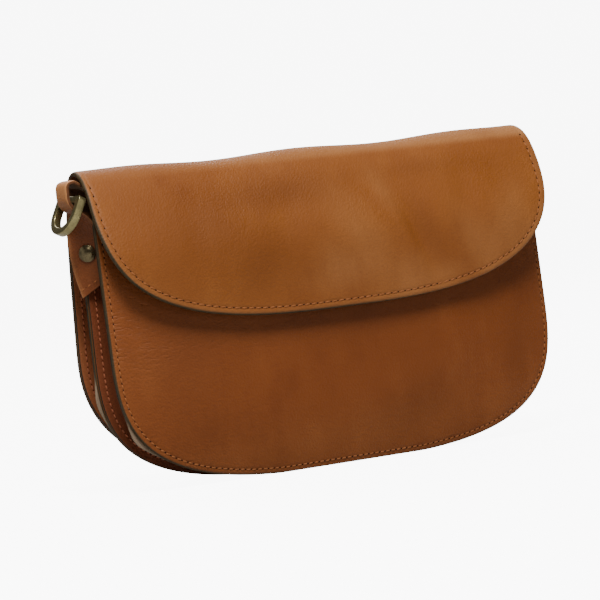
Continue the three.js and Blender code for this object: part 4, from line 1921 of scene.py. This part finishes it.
@dataclass(frozen=True)
class Ring:
    """D-ring of square-edged wire that hangs on its straight bar."""

    end: End
    tilt: float
    bar: Triple
    width: float = 27.0
    straight: float = 8.0
    bow: float = 11.8
    wire: float = 4.0
    depth: float = 4.4
    corner: float = 2.0
    least_corner: float = 0.6
    soft: float = 0.5
    bar_points: int = 12
    corner_points: int = 8
    arm_points: int = 6
    bow_points: int = 48
    soft_points: int = 5

    def loop(self, inset: float) -> Array:
        """Closed D inside the outline by an inset: bar, rounded corners, arms and a half-ellipse bow.

        Args:
            inset: Distance in from the outer edge.

        Returns:
            Places along the bar and down from it.
        """
        half = self.width / 2 - inset
        top = inset - self.wire / 2
        bend = np.linspace(0, np.pi / 2, self.corner_points)
        sweep = np.linspace(0, np.pi, self.bow_points)
        turn = max(self.corner - inset, self.least_corner)
        along = np.linspace(-half + turn, half - turn, self.bar_points)[1:-1]
        bar = np.stack([along, np.full_like(along, top)], -1)
        corner = np.stack([half - turn + turn * np.sin(bend), top + turn * (1 - np.cos(bend))], -1)
        down = np.linspace(top + turn, self.straight, self.arm_points)[1:-1]
        arm = np.stack([np.full_like(down, half), down], -1)
        bow = np.stack([half * np.cos(sweep), self.straight + (self.bow - inset) * np.sin(sweep)], -1)
        mirror = (-1, 1)
        return np.concatenate([bar, corner, arm, bow, (arm * mirror)[::-1], (corner * mirror)[::-1]])

    def build(self, wardrobe: Wardrobe) -> list[Piece]:
        """Carry a rectangle with corners of quarter circles round the D, between outer and inner loop.

        Args:
            wardrobe: Finishes.

        Returns:
            The piece, in a list.
        """
        tilt = np.radians(self.tilt)
        drop = np.array([self.end * np.sin(tilt), 0, -np.cos(tilt)])
        wide = np.array([0, 1.0, 0])
        outer, inner = self.loop(0.0), self.loop(self.wire)
        reach = np.linalg.norm(outer - inner, axis=1)[:, None]
        quarter = np.arange(4)[:, None] * np.pi / 2
        turn = (quarter + np.linspace(0, np.pi / 2, self.soft_points)).ravel()
        corner = quarter + np.pi / 4
        sign = np.sign(np.stack([np.cos(corner), np.sin(corner)], -1))
        sign = sign.repeat(self.soft_points, 1).reshape(-1, 2)
        out = sign[:, 0] * (reach / 2 - self.soft) + self.soft * np.cos(turn)
        off = sign[:, 1] * (self.depth / 2 - self.soft) + self.soft * np.sin(turn)
        flat = (outer + inner)[:, None] / 2 + out[..., None] * ((outer - inner) / reach)[:, None]
        points = np.array(self.bar) + flat[..., :1] * wide + flat[..., 1:] * drop
        points = points + off[None, :, None] * np.cross(wide, drop)
        quads = grid_quads(len(outer), len(turn), close_rows=True, close_columns=True)
        name = f"{self.end.label}_ring"
        wire = Shape(points.reshape(-1, 3), quads).outward().put(f"{name}_wire", [wardrobe.ring])
        return [dress(wire, body=name, node=name)]


# Room


def stand_up(name: str, data: bpy.types.ID, axes: tuple[Array, Array, Array], place: Array) -> Piece:
    """Put a camera or a light in the room.

    Args:
        name: Object's name.
        data: The camera or the light.
        axes: Its directions to the right, up and back.
        place: Where it stands.

    Returns:
        The object.
    """
    made = bpy.data.objects.new(name, data)
    turn = np.eye(4)
    turn[:3, :3] = np.stack(axes, -1)
    turn[:3, 3] = place
    made.matrix_world = Matrix(turn.tolist())
    bpy.context.collection.objects.link(made)
    return made


@dataclass(frozen=True)
class Lamp:
    """Square soft light: where it hangs, the point that it faces, the length of its side and its watts."""

    name: str
    place: Triple
    aim: Triple
    size: float
    power: float
    steep: float = 0.9

    def build(self) -> None:
        """Hang the light."""
        data = bpy.data.lights.new(self.name, "AREA")
        data.size = self.size
        data.energy = self.power
        back = unit(np.array(self.place) - np.array(self.aim))
        level = (0, 1, 0) if abs(back[2]) > self.steep else (0, 0, 1)
        right = unit(np.cross(level, back))
        stand_up(self.name, data, (right, np.cross(back, right), back), self.place)


@dataclass(frozen=True)
class Studio:
    """Pale floor that rises into a wall all round, soft lights and the camera."""

    yaw: float = np.radians(30.0)
    rise: float = np.radians(2.0)
    roll: float = np.radians(6.4)
    distance: float = 2.0
    target: Triple = (0.0, 0.0, 0.085)
    pixels_per_mm: float = 1.79
    image: float = 600.0
    target_pixel: Span = (313.77, 309.61)
    sensor: float = 36.0
    floor_rings: tuple[float, ...] = (0.01, 0.5, 1.0, 2.0, 3.0)
    floor_reach: float = 3.6
    bend: float = 1.6
    bend_rings: int = 16
    wall_top: float = 4.5
    floor_sides: int = 96
    floor_colour: Colour = (0.42, 0.42, 0.415)
    floor_tint: float = 0.98
    floor_pattern: Noise = Noise(3.0, 2.0, 0.5)
    floor_roughness: float = 0.9
    floor_specular: float = 0.1
    floor_glow: float = 8.5
    white: Colour = (1.0, 1.0, 1.0)
    room_light: float = 0.14
    lamps: tuple[Lamp, ...] = (
        Lamp("top_light", (-0.42, -0.76, 1.55), (0, 0, 0.1), 0.6, 63.0),
        Lamp("front_light", (0.2, -1.9, 0.3), (0, 0, 0.09), 1.4, 6.6),
        Lamp("left_light", (-1.9, 0.05, 0.6), (0, 0, 0.09), 1.2, 5.5),
        Lamp("back_light", (0.25, 1.3, 1.5), (0, 0, 0.1), 1.2, 33.0),
        Lamp("right_light", (1.9, 0.7, 0.6), (0, 0, 0.09), 1.8, 6.5),
    )

    def camera(self) -> None:
        """Set the camera, turned and rolled, and slid so that the target is at its place in the picture."""
        cos_yaw, sin_yaw = np.cos(self.yaw), np.sin(self.yaw)
        cos_rise, sin_rise = np.cos(self.rise), np.sin(self.rise)
        level = np.array([cos_yaw, -sin_yaw, 0])
        upright = np.array([sin_yaw * sin_rise, cos_yaw * sin_rise, cos_rise])
        back = np.array([-sin_yaw * cos_rise, -cos_yaw * cos_rise, sin_rise])
        right = level * np.cos(self.roll) - upright * np.sin(self.roll)
        up = level * np.sin(self.roll) + upright * np.cos(self.roll)
        slide = (np.array(self.target_pixel) - self.image / 2) / self.pixels_per_mm * MM
        place = np.array(self.target) + back * self.distance - right * slide[0] + up * slide[1]
        data = bpy.data.cameras.new("camera")
        data.sensor_width = self.sensor
        data.lens = self.pixels_per_mm / MM * self.distance * self.sensor / self.image
        bpy.context.scene.camera = stand_up("camera", data, (right, up, back), place)

    def floor_material(self) -> Material:
        """Make the floor's finish, which the camera sees as white.

        Returns:
            The material.
        """
        graph = MaterialGraph("pale_floor")
        faint = graph.noise(graph.place, self.floor_pattern)
        seen = graph.node("ShaderNodeLightPath").outputs["Is Camera Ray"]
        return graph.shade(
            Base_Color=graph.mix(faint, self.floor_colour, scaled(self.floor_colour, self.floor_tint)),
            Roughness=self.floor_roughness,
            Specular_IOR_Level=self.floor_specular,
            Emission_Color=self.white,
            Emission_Strength=graph.maths("MULTIPLY", seen, self.floor_glow),
        )

    def floor(self) -> None:
        """Lay a round floor whose rim curves up: a profile of radius and height turned about Z."""
        bend = np.linspace(0, np.pi / 2, self.bend_rings)
        curve = self.floor_reach + self.bend * np.sin(bend)
        radius = np.concatenate([self.floor_rings, curve, [self.floor_reach + self.bend]])
        rise = self.bend * (1 - np.cos(bend))
        height = np.concatenate([np.zeros(len(self.floor_rings)), rise, [self.wall_top]])
        turn = np.arange(self.floor_sides) * 2 * np.pi / self.floor_sides
        x = radius[:, None] * np.cos(turn)
        y = radius[:, None] * np.sin(turn)
        points = np.stack(np.broadcast_arrays(x, y, height[:, None]), -1).reshape(-1, 3) / MM
        wall = grid_quads(len(radius), self.floor_sides, close_columns=True)
        quads = np.concatenate([wall, cap_quads(self.floor_sides)[:, ::-1]])
        Shape(points, quads).put("floor", [self.floor_material()])

    def build(self) -> None:
        """Set up camera, floor, lights and the even light of the room."""
        self.camera()
        self.floor()
        for lamp in self.lamps:
            lamp.build()
        world = bpy.data.worlds.new("room")
        world.use_nodes = True
        graph = Graph(world.node_tree)
        graph.feed(world.node_tree.nodes["Background"], Color=self.white, Strength=self.room_light)
        bpy.context.scene.world = world


def main() -> None:
    """Build the bag's pieces in order and report each."""
    logging.basicConfig(level=logging.INFO, format="%(message)s")
    wardrobe = Wardrobe()
    front = FrontPanel()
    divider = Divider()
    hide = Hide()
    left_tab = Tab(End.LEFT)
    right_tab = Tab(End.RIGHT, inward=1.6, down=3.4, back=1.6)
    # Painted shade darkens the front gusset and painted light pales the back one, each all over
    front_gusset = Gusset(
        "front_gusset", front.outline, divider.outline, front.edge_inner, divider.front_face,
        flare=Flare(height=29.0, spread=7.5, reach=2.8), shade=0.9, fade=0.0,
    )
    back_gusset = Gusset(
        "back_gusset", divider.outline, hide.back, divider.back_face, hide.edge_inner,
        flare=Flare(height=50.0, spread=9.0, reach=1.8), shade=0.0, fade=0.45,
    )
    left_ring = Ring(End.LEFT, tilt=27.0, bar=(-145.4, -5.8, 160.2))
    right_ring = Ring(End.RIGHT, tilt=25.0, bar=(143.8, -4.2, 156.8))
    builders: list[Builder] = [
        hide, front, divider, front_gusset, back_gusset, left_tab, right_tab,
        Rivet(left_tab), Rivet(right_tab), left_ring, right_ring,
    ]
    for builder in builders:
        for piece in builder.build(wardrobe):
            log.info("%s: %d faces", piece.name, len(piece.data.polygons))
    Studio().build()


if __name__ == "__main__":
    main()
